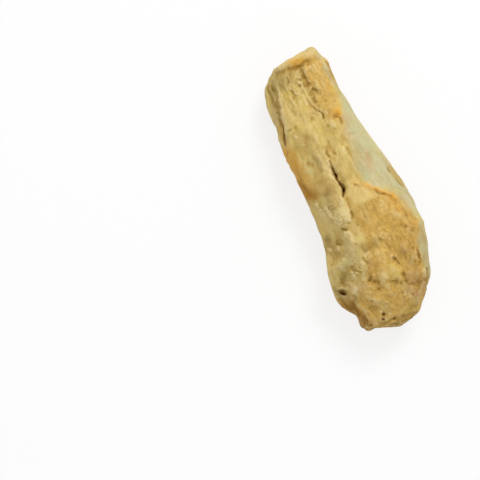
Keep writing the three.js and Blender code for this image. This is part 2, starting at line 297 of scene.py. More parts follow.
class Chart:
    """A flat map of part of the surface. relief is millimetres in or out, and each coat a share from 0 to 1.

    Lines and outlines are lists of (u, v) places in millimetres.
    """

    def __init__(self, across, up, seed):
        self.start = (across[0], up[0])
        self.u = np.arange(across[0], across[1], CHART_STEP, dtype=np.float32)[:, None]
        self.v = np.arange(up[0], up[1], CHART_STEP, dtype=np.float32)[None, :]
        self.shape = (self.u.size, self.v.size)
        self.relief = np.zeros(self.shape, np.float32)
        self.coats = {}
        self.seed = seed
        self.warp = [self.noise(1.6, 1.6, k, 3) for k in (1, 2)]
        self.fits = self.noise(1.9, 1.9, 3, 2)

    def noise(self, size_u, size_v, seed, layers=1):
        """Smooth noise over the whole chart, from about -1 to 1, with features of these sizes."""
        random = np.random.default_rng((self.seed, seed))
        total = 0
        for layer in range(layers):
            sides = []
            for line, size in ((self.u.ravel(), size_u), (self.v.ravel(), size_v)):
                place = (line - line[0]) * 2**layer / (0.6 * size)
                cell = np.floor(place).astype(int)
                t = place - cell
                weights = np.zeros((line.size, cell.max() + 4), np.float32)
                curve = ((1 - t) ** 3, 3 * t**3 - 6 * t**2 + 4, 3 * (t + t**2 - t**3) + 1, t**3)
                for step, weight in enumerate(curve):
                    weights[np.arange(line.size), cell + step] = weight / 6
                sides.append(weights)
            lattice = random.normal(size=(sides[0].shape[1], sides[1].shape[1])).astype(np.float32)
            total = total + 0.9 * (sides[0] @ lattice @ sides[1].T) / 2**layer
        return total

    def window(self, places, margin):
        """The slices of the part of the chart round some places."""
        low = (np.min(places, axis=0) - margin - self.start) / CHART_STEP
        high = (np.max(places, axis=0) + margin - self.start) / CHART_STEP
        return tuple(slice(max(0, int(a)), max(1, int(b) + 2)) for a, b in zip(low, high))

    def ragged(self, window, reach):
        """The u and v of a window, pushed about a little so that no edge there is clean."""
        push_u, push_v = (reach * warp[window] for warp in self.warp)
        return self.u[window[0]] + push_u, self.v[:, window[1]] + push_v

    def path(self, points, wander):
        """A smooth line through the points, wandering a little to each side."""
        points = np.array(points, float)
        ends = np.vstack([2 * points[0] - points[1], points, 2 * points[-1] - points[-2]])
        line = []
        for a, b, c, d in zip(ends, ends[1:], ends[2:], ends[3:]):
            steps = max(2, int(np.linalg.norm(c - b) / 0.2))
            for t in np.arange(steps) / steps:
                bend = (2 * a - 5 * b + 4 * c - d) * t * t + (3 * b - 3 * c + d - a) * t**3
                line.append(b + 0.5 * ((c - a) * t + bend))
        line = np.array([*line, points[-1]], np.float32)
        shift = [layered(line[:, 0] / 1.3, line[:, 1] / 1.3, k, self.seed + 5, 2) for k in (0.5, 7.5)]
        return line + wander * np.stack(shift, 1)

    def beside(self, path, reach, ragged=0.22):
        """Round a path: its window, the distance from it, how far along it from 0 to 1, and an unevenness."""
        window = self.window(path, reach)
        u, v = self.ragged(window, ragged)
        gap = np.hypot(u[..., None] - path[:, 0], v[..., None] - path[:, 1])
        along = gap.argmin(-1) / (len(path) - 1)
        return window, gap.min(-1), along, np.clip(1 + 0.6 * self.fits[window], 0.3, 1.5)

    def groove(self, width, depth, lip, coat, amount, *lines, wander=0.16):
        """Soft furrows that fade out at both ends, with lips if asked. A negative depth makes a ridge."""
        for points in lines:
            window, gap, along, uneven = self.beside(self.path(points, wander), 3.4 * width)
            fade = ramp(along, -0.02, 0.2) * ramp(along, 1.02, 0.8) * uneven
            lips = lip * bell(gap - 1.8 * width, 0.8 * width)
            self.relief[window] += fade * (lips - depth * bell(gap, width))
            self.paint(coat, amount * fade * bell(gap, width), window)

    def ledge(self, points, height, run_up, run_down):
        """A step beside a line: the ground on its left is this much higher, and each side evens out again."""
        path = self.path(points, 0.2)
        window, gap, along, _ = self.beside(path, 3 * max(run_up, run_down), 0.2)
        near = np.rint(along * (len(path) - 1)).astype(int)
        heading = np.gradient(path, axis=0)[near]
        u, v = self.ragged(window, 0.2)
        left = heading[..., 0] * (v - path[near, 1]) > heading[..., 1] * (u - path[near, 0])
        side = np.where(left, 0.5 * bell(gap, run_up), -0.5 * bell(gap, run_down))
        fade = ramp(along, 0, 0.2) * ramp(along, 1, 0.8)
        self.relief[window] += height * fade * side

    def slit(self, points, width, depth, amount=1.0, wander=0.06):
        """An open crack: widest in the middle, with steep sides that meet at the bottom."""
        window, gap, along, uneven = self.beside(self.path(points, wander), width + 1, 0.1)
        openness = np.sqrt(np.clip(4 * along * (1 - along), 0, 1))
        half = 0.5 * width * (0.2 + 0.8 * openness) * (0.6 + 0.4 * uneven)
        self.relief[window] -= depth * (0.25 + 0.75 * openness) * np.clip(1 - gap / half, 0, 1) ** 0.6
        # the umber inside the crack is its brown, and also painted shade in the gap
        self.paint("umber", amount * ramp(gap, half + 0.12, half - 0.1), window)

    def pit(self, radius, depth, rim, amount, *places, stretch=(1.0, 1.0)):
        """Round holes or scars, with a raised rim if asked."""
        for at in places:
            window = self.window([at], 3 * radius * max(stretch))
            u, v = self.ragged(window, 0.5 * radius)
            gap = np.hypot((u - at[0]) / stretch[0], (v - at[1]) / stretch[1])
            hole = depth * np.exp(-((gap / radius) ** 3))
            self.relief[window] += rim * bell(gap - 1.5 * radius, 0.45 * radius) - hole
            self.paint("umber", amount * bell(gap, radius), window)

    def round(self, radius, place, stretch, turn):
        """A soft round share, 1 in its middle, and its window."""
        window = self.window([place], 2.4 * radius * max(stretch))
        cos, sin = math.cos(math.radians(turn)), math.sin(math.radians(turn))
        u, v = self.ragged(window, 0.3 * radius)
        u, v = u - place[0], v - place[1]
        gap = np.hypot((u * cos + v * sin) / stretch[0], (v * cos - u * sin) / stretch[1])
        return window, bell(gap, radius)

    def dab(self, coat, amount, radius, *places, stretch=(1.0, 1.0), turn=0):
        for place in places:
            window, share = self.round(radius, place, stretch, turn)
            self.paint(coat, amount * share, window)

    def swell(self, height, radius, *places, stretch=(1.0, 1.0), turn=0):
        """Soft round lumps, or hollows where the height is negative."""
        for place in places:
            window, share = self.round(radius, place, stretch, turn)
            self.relief[window] += height * share

    def inside(self, outline, edge, ragged=0.35):
        """A share from 0 outside a closed outline to 1 inside it, with a ragged edge that is this soft."""
        outline = np.array(outline, np.float32)
        window = self.window(outline, edge + 2 * ragged)
        u, v = self.ragged(window, ragged)
        gap = np.full(u.shape, 1e3, np.float32)
        crossings = np.zeros(u.shape, np.int32)
        for (u0, v0), (u1, v1) in zip(outline, np.roll(outline, -1, 0)):
            du, dv = u1 - u0, v1 - v0
            along = np.clip(((u - u0) * du + (v - v0) * dv) / (du * du + dv * dv), 0, 1)
            gap = np.minimum(gap, np.hypot(u - u0 - along * du, v - v0 - along * dv))
            if dv:
                crossings += ((v < v0) != (v < v1)) & (u < u0 + (v - v0) / dv * du)
        share = np.zeros(self.shape, np.float32)
        share[window] = ramp(np.where(crossings % 2 == 1, gap, -gap), -edge / 2, edge / 2)
        return share

    def patch(self, outline, edge, ragged=0.35, height=0, where=1, **coats):
        """Lays coats inside an outline, and raises or lowers it. Gives the share that it covers."""
        share = self.inside(outline, edge, ragged) * where
        self.relief += height * share
        for coat, amount in coats.items():
            self.paint(coat, amount * share)
        return share

    def crackle(self, share, size_u, size_v, width, depth, amount, seed):
        """A net of fine wandering cracks, where a share says."""
        field = self.noise(size_u, size_v, seed, 2)
        slope = np.hypot(*np.gradient(field, CHART_STEP)) + 1e-4
        line = bell(np.abs(field) / slope, width) * ramp(self.noise(4.0, 3.0, seed + 1), -0.15, 0.35) * share
        self.relief -= depth * line
        self.paint("umber", amount * line)

    def wrinkles(self, count, low, high, lengths, width, depth, amount, seed, slant):
        """Short furrows along u, scattered between two corners. slant is how far they stray from straight."""
        random = np.random.default_rng((self.seed, seed))
        for _ in range(count):
            u, v = random.uniform(low, high)
            half = random.uniform(*lengths) / 2
            rise = random.normal(0, slant, 3) * half
            line = [(u - half, v - rise[0]), (u, v + 0.4 * rise[1]), (u + half, v + rise[2])]
            deep = random.uniform(0.5, 1.0)
            self.groove(
                width * random.uniform(0.7, 1.3), depth * deep, 0.25 * depth, "umber", amount * deep, line,
            )

    def paint(self, coat, share, window=np.s_[:, :]):
        """Lays a share of a coat over what is there."""
        layer = self.coats.setdefault(coat, np.zeros(self.shape, np.float32))
        layer[window] = 1 - (1 - layer[window]) * (1 - np.clip(share, 0, 1))

    def wipe(self, coat, share):
        if coat in self.coats:
            self.coats[coat] *= 1 - np.clip(share, 0, 1)

    def read(self, field, u, v):
        return sampled(field, (u - self.start[0]) / CHART_STEP, (v - self.start[1]) / CHART_STEP)


# ------------------------------------------------------------------------------------ the top, from above


def draw_narrow_end(top):
    """The blunt end: a pale raised rim with an amber patch, and a brown crease behind it, darkened further
    with painted shade, that furrows run off.
    """
    # the brown crease behind the rim: its own brown, with painted shade from the rim
    top.groove(
        0.7, 0.4, 0, "umber", 0.5,
        [(-40.7, 6.2), (-40.2, 4.6), (-40.4, 3.4), (-40, 2), (-39.8, 0.4), (-40.2, -3), (-40.2, -5),
         (-39.4, -6.6)],
    )
    top.groove(
        0.45, 0.15, 0, "rust", 0.5,
        [(-39.6, 2), (-40, -1.2), (-40.3, -2.4)], [(-40.2, 4), (-39.5, 3.8), (-38.8, 4.1)],
    )
    top.dab(
        "umber", 0.45, 1.3, (-37.2, -2.8), (-36.2, -3.2), (-39, -1.2), (-39.2, -3.6), (-38.6, -6.4),
        (-36.6, -5.6),
    )
    top.dab("amber", 1, 1.4, (-41.6, 1.8), (-41.4, 0.2), (-40.9, 3), stretch=(0.75, 1.1))
    top.dab("mint", 0.8, 0.9, (-42.9, 7.4), (-43.4, 5), (-40, 8.4))
    top.dab("cream", 0.9, 1.2, (-41.2, -3.2), (-41.6, 5.4), stretch=(0.7, 1.3))
    top.dab("olive", 0.6, 1.1, (-40.6, -6), (-38.4, -5), (-37.4, -6.6), (-35.6, -6.8), stretch=(1, 1.2))
    # the furrow that runs from the crease towards the crack, with its branches
    top.groove(
        0.9, 0.3, 0, "olive", 0.4,
        [(-39.2, 0.9), (-36, 0.8), (-33.4, 0.9), (-31.4, 0.6)], [(-32, 1.2), (-31, 1.2), (-30.2, 1)],
    )
    top.groove(
        0.6, 0.24, 0, "olive", 0.9,
        [(-39.3, 1.4), (-37.8, 1.15), (-36.4, 1.25), (-33.8, 1.4)],
        [(-32.4, 1.9), (-31.7, 2.6), (-29.4, 3.9)],
    )
    top.groove(
        0.36, 0.14, 0, "umber", 0.35,
        [(-39.3, 1.3), (-37.8, 1.05), (-35, 1.4)], [(-33.3, 1), (-33.8, 0.2)],
        [(-38.9, -2), (-38.2, -2.4), (-37.2, -2.5)], [(-36.2, -2.1), (-35, -1.6)],
    )
    top.groove(
        0.32, 0.22, 0.04, "umber", 0.75,
        [(-30.4, -1), (-28.3, -0.5), (-26.1, 0.3), (-24.4, 1.5), (-23.2, 1.8), (-22.3, 1.4)],
        [(-29.9, 1.6), (-29.2, 1.1), (-28.5, 0.9), (-27.8, 1), (-28, 2.3)],
    )
    top.groove(
        0.24, 0.12, 0, "bark", 0.55,
        [(-30.2, -0.9), (-28.2, -0.5), (-27.2, -0.2)],
        [(-25.5, 0.8), (-24.2, 1.5), (-23.4, 1.9), (-22.7, 1.8), (-22.3, 1.3)],
        [(-32.1, 1.8), (-31.5, 2.6), (-30.8, 3.4)], [(-38.6, -3.5), (-37.4, -3.5), (-36, -3.4)],
        [(-38.9, -2.2), (-38.1, -2.5)], [(-34.8, -1.5), (-33.8, -1.2)],
    )
    top.groove(
        0.45, 0.16, 0.03, "olive", 0.7,
        [(-27.6, 4.6), (-26.8, 4.2)], [(-35.6, 0.6), (-35.9, -0.5), (-36.4, -1.4)],
        [(-31.6, -5.6), (-30, -5.4), (-28.6, -5.8), (-26.2, -5.4)],
    )
    top.groove(
        0.4, 0.14, 0, "umber", 0.3,
        [(-38.2, -6.4), (-36.8, -6.7), (-34.9, -6.7), (-34.8, -7.4), (-35.4, -7.9)],
    )
    top.groove(
        0.6, 0.1, 0, "olive", 0.5,
        [(-35.4, -3.3), (-33.4, -3.4), (-31.2, -3.2)], [(-34.6, -1.3), (-33, -1.2), (-31.2, -1.2)],
    )
    top.swell(-0.3, 0.7, (-33.7, 1.5), (-34.3, -1.3))
    top.dab("umber", 0.9, 0.65, (-33.7, 1.4))
    top.dab("umber", 0.4, 0.6, (-34.3, -1.3), (-22.7, 1.6))
    top.pit(0.42, 0.14, 0, 0.3, (-25.3, -0.7), (-25.2, -1.4))
    # the pale crests between the furrows, with painted highlights on them
    top.groove(
        0.5, -0.1, 0, "chalk", 0.5,
        [(-26.8, -0.5), (-24.8, 0.8), (-23.2, 1.1)], [(-29.6, 0.5), (-28.4, 0.2), (-27.2, 0.5)],
        [(-33.6, -4.6), (-31, -4.6), (-29.2, -4.9)],
    )
    top.swell(0.22, 1.2, (-36.4, -4.8), (-29, 2.2), (-24, 3), (-32.6, -2.4), stretch=(1.4, 0.8))
    top.swell(0.3, 2.2, (-32.5, 5), (-26.6, -3), (-33, -7.2), (-22, -1.6), stretch=(1.5, 0.8), turn=-5)
    top.dab(
        "cream", 0.8, 1.7, (-23.4, -2.8), (-25, -4.8), (-9, -3.4), (-30, -7.2), (-27.4, -7.6), (-22.4, -3.4),
        stretch=(1.5, 0.8), turn=-8,
    )
    top.dab("olive", 0.4, 1.4, (-20.8, -7), (-19.2, -6.8))
    top.dab("lemon", 0.5, 1.9, (-29.4, -2.6), (-32.4, -4.6), (-21.6, -1.4), stretch=(1.6, 0.7))
    top.wrinkles(34, (-39.4, -5.5), (-19, 5.5), (0.5, 1.8), 0.28, 0.12, 0.22, 1, 0.5)
    # the rusty patch by the peeled face, with a torn pit in it, and stains along the back
    top.dab("amber", 1, 1.4, (-22.6, 6.5))
    top.dab("amber", 0.4, 1, (-30.4, 6.8))
    top.dab("lemon", 0.9, 1, (-29.4, 8))
    top.dab("rust", 0.8, 0.8, (-22.1, 5.9))
    top.groove(0.4, 0.2, 0.05, "rust", 1, [(-22.4, 4.8), (-21.7, 5), (-20.9, 5.4)])
    top.groove(0.5, 0.15, 0, "umber", 0.55, [(-21.4, 6), (-20.5, 6.3), (-19.4, 6.1), (-18.4, 6.2)])
    top.groove(0.5, 0.15, 0, "rust", 0.5, [(-38.6, 9), (-37, 9.3), (-32.6, 9.2)])
    top.dab(
        "bare", 0.8, 0.9, (-36.4, 8.2), (-34, 8.4), (-31, 8.6), (-28.4, 8.9), (-40.4, 8), stretch=(1.7, 0.6),
    )
    top.dab("mint", 0.7, 0.8, (-36.4, 8.1))


def draw_front_fold(top):
    """The long fold low on the front: a pale brow with a painted highlight, painted brown shade under it, and
    a slit at its inner end.
    """
    brow = [
        (-20.4, -11.5), (-22.4, -11.1), (-24.4, -10.7), (-26.4, -10.3), (-30.4, -9.3), (-32.4, -8.8),
        (-36.4, -7.9), (-39.6, -7.5),
    ]
    top.ledge(brow, -0.28, 0.6, 1.3)
    # a painted highlight along the brow
    top.groove(0.45, -0.1, 0, "chalk", 0.6, [(u, v + 0.5) for u, v in brow])
    # painted shade under the brow, and the dark umber and olive band of the fold's shaded side below it
    top.groove(0.6, 0.12, 0, "umber", 0.55, [(u, v - 0.5) for u, v in brow[3:]])
    top.groove(
        0.5, 0.2, 0, "umber", 0.7,
        [(-37.8, -10.2), (-34.7, -10.5), (-32.7, -10.1), (-30.7, -9.8), (-28.7, -10.2), (-26, -10.9)],
    )
    top.groove(0.6, 0.1, 0, "olive", 0.7, [(-38.8, -9.9), (-36.4, -10.4), (-34.2, -10.8)])
    top.groove(0.4, -0.15, 0, "cream", 0.5, [(-37.3, -9.5), (-34.7, -9.9), (-32.5, -9.6), (-31.3, -9.2)])
    top.groove(
        0.24, 0.1, 0, "bark", 0.9,
        [(-27.4, -10.6), (-25.8, -10.9), (-23.2, -11.7), (-20.4, -12.2)], wander=0.08,
    )
    top.groove(0.4, 0.1, 0, "rust", 0.9, [(-26.4, -10.6), (-24.6, -11), (-22.4, -11.5), (-20.8, -11.9)])
    top.dab("bark", 0.8, 0.45, (-24, -11.2), (-22.6, -11.6), stretch=(1.8, 0.7), turn=-15)
    top.dab("rose", 0.8, 1.2, (-30.4, -11.9), stretch=(1.6, 0.6), turn=-8)
    top.dab("chalk", 0.9, 1.2, (-28.4, -11.9), stretch=(1.6, 0.6), turn=-8)
    top.dab("amber", 0.6, 1, (-24, -12.3), (-26.6, -11.7))
    # more painted shade in the fold's shaded band
    top.dab("umber", 0.25, 1.2, (-34, -9.8), (-36.4, -9.4), stretch=(1.9, 0.5), turn=-14)
    top.dab("olive", 0.6, 1, (-39.4, -8.6))


def draw_middle(top):
    """Between the ends: broad soft furrows, and a crack that gapes and then runs on as a fine line."""
    top.groove(
        0.8, 0.3, 0, "olive", 0.5,
        [(-21.2, -5.6), (-19.4, -5.5), (-17.8, -6.3), (-16.2, -6.8), (-13.4, -7.3)],
        [(-14.2, -5.9), (-12.4, -5.9), (-10.8, -5.3), (-9.2, -5.2), (-7.2, -5.7)],
        [(-12, -8.7), (-11.3, -7.8), (-10.4, -6.8)],
    )
    top.groove(
        0.6, 0.22, 0, "olive", 0.4,
        [(-12.4, 4.3), (-8.8, 4.5), (-6.6, 4.2)], [(-7.5, 3.4), (-6.8, 2.7)],
        [(-18.4, 4.1), (-18, 3.2), (-17.4, 2.2)], [(-19.6, 2.4), (-20.2, 1.2)],
        [(-23.4, -0.6), (-24.2, -2.4)], [(-23.8, -9.4), (-22.8, -9)], [(-24, -7.8), (-22, -7)],
    )
    # painted highlights along low ridges
    top.groove(
        0.6, -0.2, 0, "chalk", 0.4,
        [(-20.6, -2.4), (-18, -3), (-15.4, -3.8)], [(-13, 3.2), (-11, 3.4)], [(-21.6, -8.6), (-20, -8.4)],
    )
    top.swell(
        0.35, 1.7, (-9.9, -8.7), (-18.8, -7.9), (-13.6, -9.9), (-24.8, -6.6), stretch=(1.4, 0.8), turn=10,
    )
    top.swell(
        0.25, 1.6, (-16.4, 1.4), (-10.6, 2.2), (-20.4, 3.4), (-14.6, -4.6), (-6, -8), stretch=(1.6, 0.8),
    )
    top.dab("chalk", 0.5, 1.3, (-9.4, -3.4), (-11.4, -4.2), (-8, -3), stretch=(1.4, 0.7))
    top.dab("mint", 0.5, 1.3, (-9.9, -8.4))
    top.dab("lemon", 0.5, 1.4, (-19.4, -9), (-22.6, -6.4))
    top.groove(
        0.34, 0.14, 0.03, "umber", 0.36,
        [(-16.2, 0.2), (-15.2, 0), (-14.4, 0.1)], [(-12.3, 0.3), (-11.2, 0.7), (-10.4, 0.6)],
    )
    top.groove(
        0.34, 0.2, 0.03, "umber", 0.6,
        [(-13.6, -1.3), (-12.7, -1.3), (-12, -1.6), (-11.2, -1.5), (-10.5, -1.5)],
    )
    top.wrinkles(24, (-20, -5), (4, 3), (0.8, 3), 0.3, 0.12, 0.14, 4, 0.3)
    # the crack
    top.groove(0.6, 0.2, 0, "umber", 0.3, [(-10.6, -2.1), (-4, -1.8), (-0.6, -1.6), (2, -2.2)])
    top.slit(
        [(-8.4, -2.1), (-5.6, -2.1), (-4.2, -2.1), (-1.6, -1.65), (-0.3, -1.7), (1.7, -2.5)], 0.7, 0.36, 0.9,
    )
    top.groove(
        0.24, 0, 0, "bark", 0.9,
        [(-8.6, -2.05), (-7, -2), (-4.2, -2.05), (-3, -1.85), (-0.3, -1.65), (1.6, -2.4)],
    )
    top.groove(
        0.36, 0.1, 0, "bark", 1,
        [(-8.4, -2.1), (-7, -2.05), (-4.2, -2), (-2.2, -1.6)], [(-1, -1.6), (0.2, -1.8), (1.4, -2.3)],
        wander=0.04,
    )
    top.dab("umber", 0.35, 1, (-7.6, -1), (-5.4, -0.9), (-3.4, -0.5))
    top.groove(
        0.32, 0.2, 0.04, "umber", 0.45,
        [(-10.6, -2.1), (-9.4, -2.2), (-8, -2.1)], [(1.5, -1.8), (2.8, -1.7), (6, -1.8)],
    )
    top.groove(0.42, 0.28, 0, "umber", 0.65, [(5.9, -1.8), (7.6, -2), (9.2, -3)])
    top.groove(0.5, 0.16, 0, "umber", 0.4, [(9.6, -1.9), (10.6, -1.8), (11.4, -1.9)])
    top.dab("rose", 0.9, 1, (10.9, -3.1))
    # the pale lips in front of the crack, with painted highlights where they face the light
    top.groove(
        0.42, -0.28, 0, "chalk", 0.8,
        [(-10.8, -2.5), (-9.4, -2.7), (-8.2, -2.6)], [(-6.8, -3.5), (-4.2, -2.6), (-2.6, -2.4)],
        [(0.4, -3), (5, -2.6), (8.2, -3.2)],
    )


def draw_plateau(top):
    """In front of the crack's fine end: a pale plateau, a drop, and a flaked edge over a bare plane."""
    top.patch(
        [(1.6, -2.8), (8.8, -3), (9, -5.6), (7.4, -6.8), (5.6, -6), (3.4, -5.4), (1.6, -4.4)], 1.4, 0.6, 0.3,
        chalk=0.7,
    )
    top.groove(0.4, 0.35, 0, "olive", 0.85, [(9.4, -3.4), (9.2, -4.6), (8.9, -5.6), (9.3, -6.4)])
    top.groove(0.5, 0.4, 0.06, "umber", 0.75, [(10.7, -5), (10.5, -5.8), (9.9, -7.2)])
    top.groove(0.3, 0.1, 0, "bark", 0.5, [(10.8, -4.9), (10.6, -5.6), (9.8, -7)])
    top.dab("olive", 0.7, 0.8, (10.3, -5.6), (10, -6.5))
    crumbled = top.inside([(1.6, -4.4), (9, -4), (8.8, -6.8), (4.6, -8.2), (2.2, -6.2)], 1.2)
    top.crackle(crumbled, 1.3, 1, 0.18, 0.14, 0.4, 20)
    top.wrinkles(16, (2.2, -7.8), (8.8, -5.2), (0.8, 1.8), 0.26, 0.14, 0.4, 27, 0.7)
    top.dab("chalk", 0.7, 1.3, (3, -8.2), (5.2, -7.6), (7.2, -6.8), (4, -9.2), stretch=(1.4, 0.8), turn=15)
    plane = [
        (-1.2, -16), (-1.2, -12.4), (0.2, -11.2), (2.2, -9.6), (3, -8.7), (5.2, -8.5), (8.6, -7.3), (20, -6),
        (20, -16),
    ]
    top.patch(plane, 0.4, height=-0.3, where=ramp(top.u, 12, 6), ash=0.5, cream=0.7, smooth=0.8)
    # a painted highlight along the flaked edge
    top.groove(
        0.3, -0.16, 0, "chalk", 1.1,
        [(-0.5, -11), (0.3, -10.5), (1.2, -10.3)], [(1.2, -10.1), (1.9, -10.2), (2.4, -9.4)],
        [(2.4, -9), (3.2, -8.5), (4.1, -8.4)], [(4.3, -8.2), (5.3, -8.2), (6.4, -7.5)],
    )
    top.groove(0.3, 0.2, 0, "umber", 0.4, [(0.2, -10), (2, -9.6), (2.2, -8.8)], [(2.8, -7.9), (3.6, -7.7)])
    # a painted highlight along the edge over the grey plane
    top.groove(
        0.42, -0.2, 0, "chalk", 1,
        [(10.9, -6.5), (11.6, -5.5), (12.6, -4.9), (13.8, -4.9), (15.4, -5.6)],
    )
    top.dab("chalk", 0.6, 0.8, (12.2, -6.6), (7.6, -6.6))
    # the stains in front: amber with a brown foot that stops short at the plane, and a green tinge past it
    top.patch(
        [(-21, -17), (-19, -12.3), (-16, -11.5), (-12, -11.2), (-1.6, -10), (-1.3, -16)], 2.2, amber=0.8,
    )
    top.dab("amber", 0.7, 1.2, (-19.4, -13))
    top.dab("rust", 0.3, 1.5, (-9.2, -11), (-12.6, -12.4), stretch=(1.5, 0.7))
    top.patch([(-9.8, -16), (-9.4, -12.4), (-7, -11.4), (-1.6, -9.6), (-1.3, -16)], 1.8, rust=0.6)
    top.dab("rust", 0.6, 1, (-9, -12.2), (-6.4, -12), (-4, -11.6), (-2.8, -12.2), stretch=(1.6, 0.6))
    top.groove(
        0.5, 0.1, 0, "umber", 0.45,
        [(-9.4, -12.2), (-5, -11.6), (-2.6, -11.2)], [(-18.6, -12.7), (-16.4, -12.9)],
    )
    top.dab(
        "amber", 0.45, 1.5, (-18, -11), (-15, -11.2), (-12, -10.6), (-8.4, -10.2), (-5, -9.4),
        stretch=(1.7, 0.6),
    )
    top.dab("umber", 0.4, 1, (-1.5, -6.4))
    top.dab("rust", 0.3, 1.4, (-0.8, -4.8), (0.8, -5), (-2.6, -4.6))
    top.dab("olive", 0.7, 0.9, (-1.5, -5.4), (-1.3, -6.8))
    top.patch([(-5.6, -5), (-1.8, -4.6), (-1.4, -11), (-7.4, -10.6)], 2.6, 0.8, rust=0.4)
    top.dab("lemon", 0.6, 1, (7, -12), (3, -11.9))
    top.dab("olive", 0.8, 1.1, (10.6, -11.6), (12, -12.1), (10.4, -12.3), stretch=(1.5, 0.6))


def draw_peeled_face(top):
    """The long knife-smooth face along the back, nearly white, with a torn amber step where it stops."""
    face = [
        (-30, 9.8), (-25, 8.8), (-20, 7.4), (-16, 5.6), (-10, 5), (-4, 4.7), (0.8, 5.6), (3.6, 8.2),
        (6, 11.6), (8, 13), (12, 14.6), (14.6, 16.2), (-30, 22),
    ]
    fading = 1 - 0.55 * ramp(top.u, -3, -9) * ramp(top.v, 8.8, 5)
    top.patch(face, 1.2, 0.45, -0.2, fading, bare=0.95, smooth=0.8)
    shoulder = [(13, 17.6), (16.4, 16.4), (21.8, 13.5), (25, 12.8), (33, 11.3), (40, 7.6), (30, 20), (13, 20)]
    top.patch(shoulder, 2, 0.7, bare=0.8, ash=0.55, umber=0.17, smooth=0.3)
    top.dab("olive", 0.7, 0.9, (23, 12.8), (28, 12.6), stretch=(1.5, 0.7), turn=-25)
    top.dab("mint", 0.8, 1.3, (25.2, 13.4), (31.8, 12.2), (18.6, 16.4), stretch=(1.5, 0.8), turn=-25)
    top.groove(0.9, 0.16, 0, "olive", 0.3, [(-8.4, 9.9), (-6.6, 9.5), (-5, 9.4)], [(-15.6, 7.8), (-14, 7.6)])
    top.dab("rose", 0.9, 1.4, (-7, 9.4), (-4.4, 9), (-16.4, 6.4), stretch=(1.4, 0.7))
    top.dab("rose", 0.6, 1.5, (-19.6, 8), (11.2, 14), stretch=(1.3, 0.8))
    top.dab(
        "mint", 0.9, 1.6, (-9, 11.2), (-11.8, 10.4), (-1.6, 6.2), (4.4, 14), (-22.6, 9.2), (14.4, 16),
        (-3.4, 11), (-17, 9), stretch=(1.4, 0.8),
    )
    top.dab("lemon", 0.5, 1.2, (4.4, 10.4), (6, 13.2), stretch=(0.8, 1.4), turn=-30)
    # the torn step: an amber slope up to a brown crease, and a pale lip behind it
    top.groove(
        0.65, -0.3, 0, "amber", 1,
        [(-0.2, 4.5), (1.8, 6.4), (4.2, 8.4), (6.2, 11), (7.6, 12), (9.6, 12.4)],
    )
    top.dab("amber", 0.4, 0.8, (1.4, 4.8), (3, 6.2), turn=40)
    top.groove(
        0.36, 0.14, 0.03, "rust", 0.9,
        [(2.2, 6.6), (3.8, 7.4), (4.6, 7.9), (5.3, 8.9), (6.6, 10.6), (7.6, 11.3)],
    )
    top.dab("rust", 0.45, 0.9, (6.8, 10.6), (8.6, 11.2), (11.2, 10.8), stretch=(1.3, 0.7), turn=45)
    top.dab("amber", 0.5, 1.5, (7, 10.4), (11, 11), stretch=(1.4, 0.8), turn=45)
    # its torn fibres, which run on towards the middle, and the stains round its other end
    top.groove(
        0.32, -0.15, 0, "amber", 0.6,
        [(-2.4, 3.2), (-1, 3.8), (0.6, 4.6), (1.6, 5)], [(-2, 1.8), (-1, 2.4), (0.2, 3.6)],
    )
    top.groove(
        0.3, 0.15, 0, "olive", 0.4,
        [(-4.8, 3.2), (-3.6, 3.6), (-2, 4)], [(-1, 1.9), (0, 2.8), (0.6, 3.4)],
    )
    top.groove(0.4, 0.08, 0, "rust", 0.35, [(11.2, 12), (12.6, 12.4), (14.4, 12.8)])
    top.groove(0.4, 0.1, 0, "rust", 0.35, [(8.8, 9.2), (9.8, 9.3)])
    top.groove(0.55, -0.08, 0, "chalk", 0.4, [(6.4, 7.5), (8.6, 7.6)])
    # a strip of old skin that the knife missed
    strip = top.patch([(-2.8, 12.9), (3, 14.3), (4.2, 15.2), (2, 18), (-3, 17)], 0.6, 0.25, olive=0.6)
    top.wipe("bare", 0.8 * strip)
    top.groove(
        0.34, 0.1, 0.05, "umber", 0.45,
        [(-2.5, 13.1), (-1.4, 13.3), (0, 13.9)], [(1.4, 14.4), (2.8, 14.7), (3.8, 15)],
    )


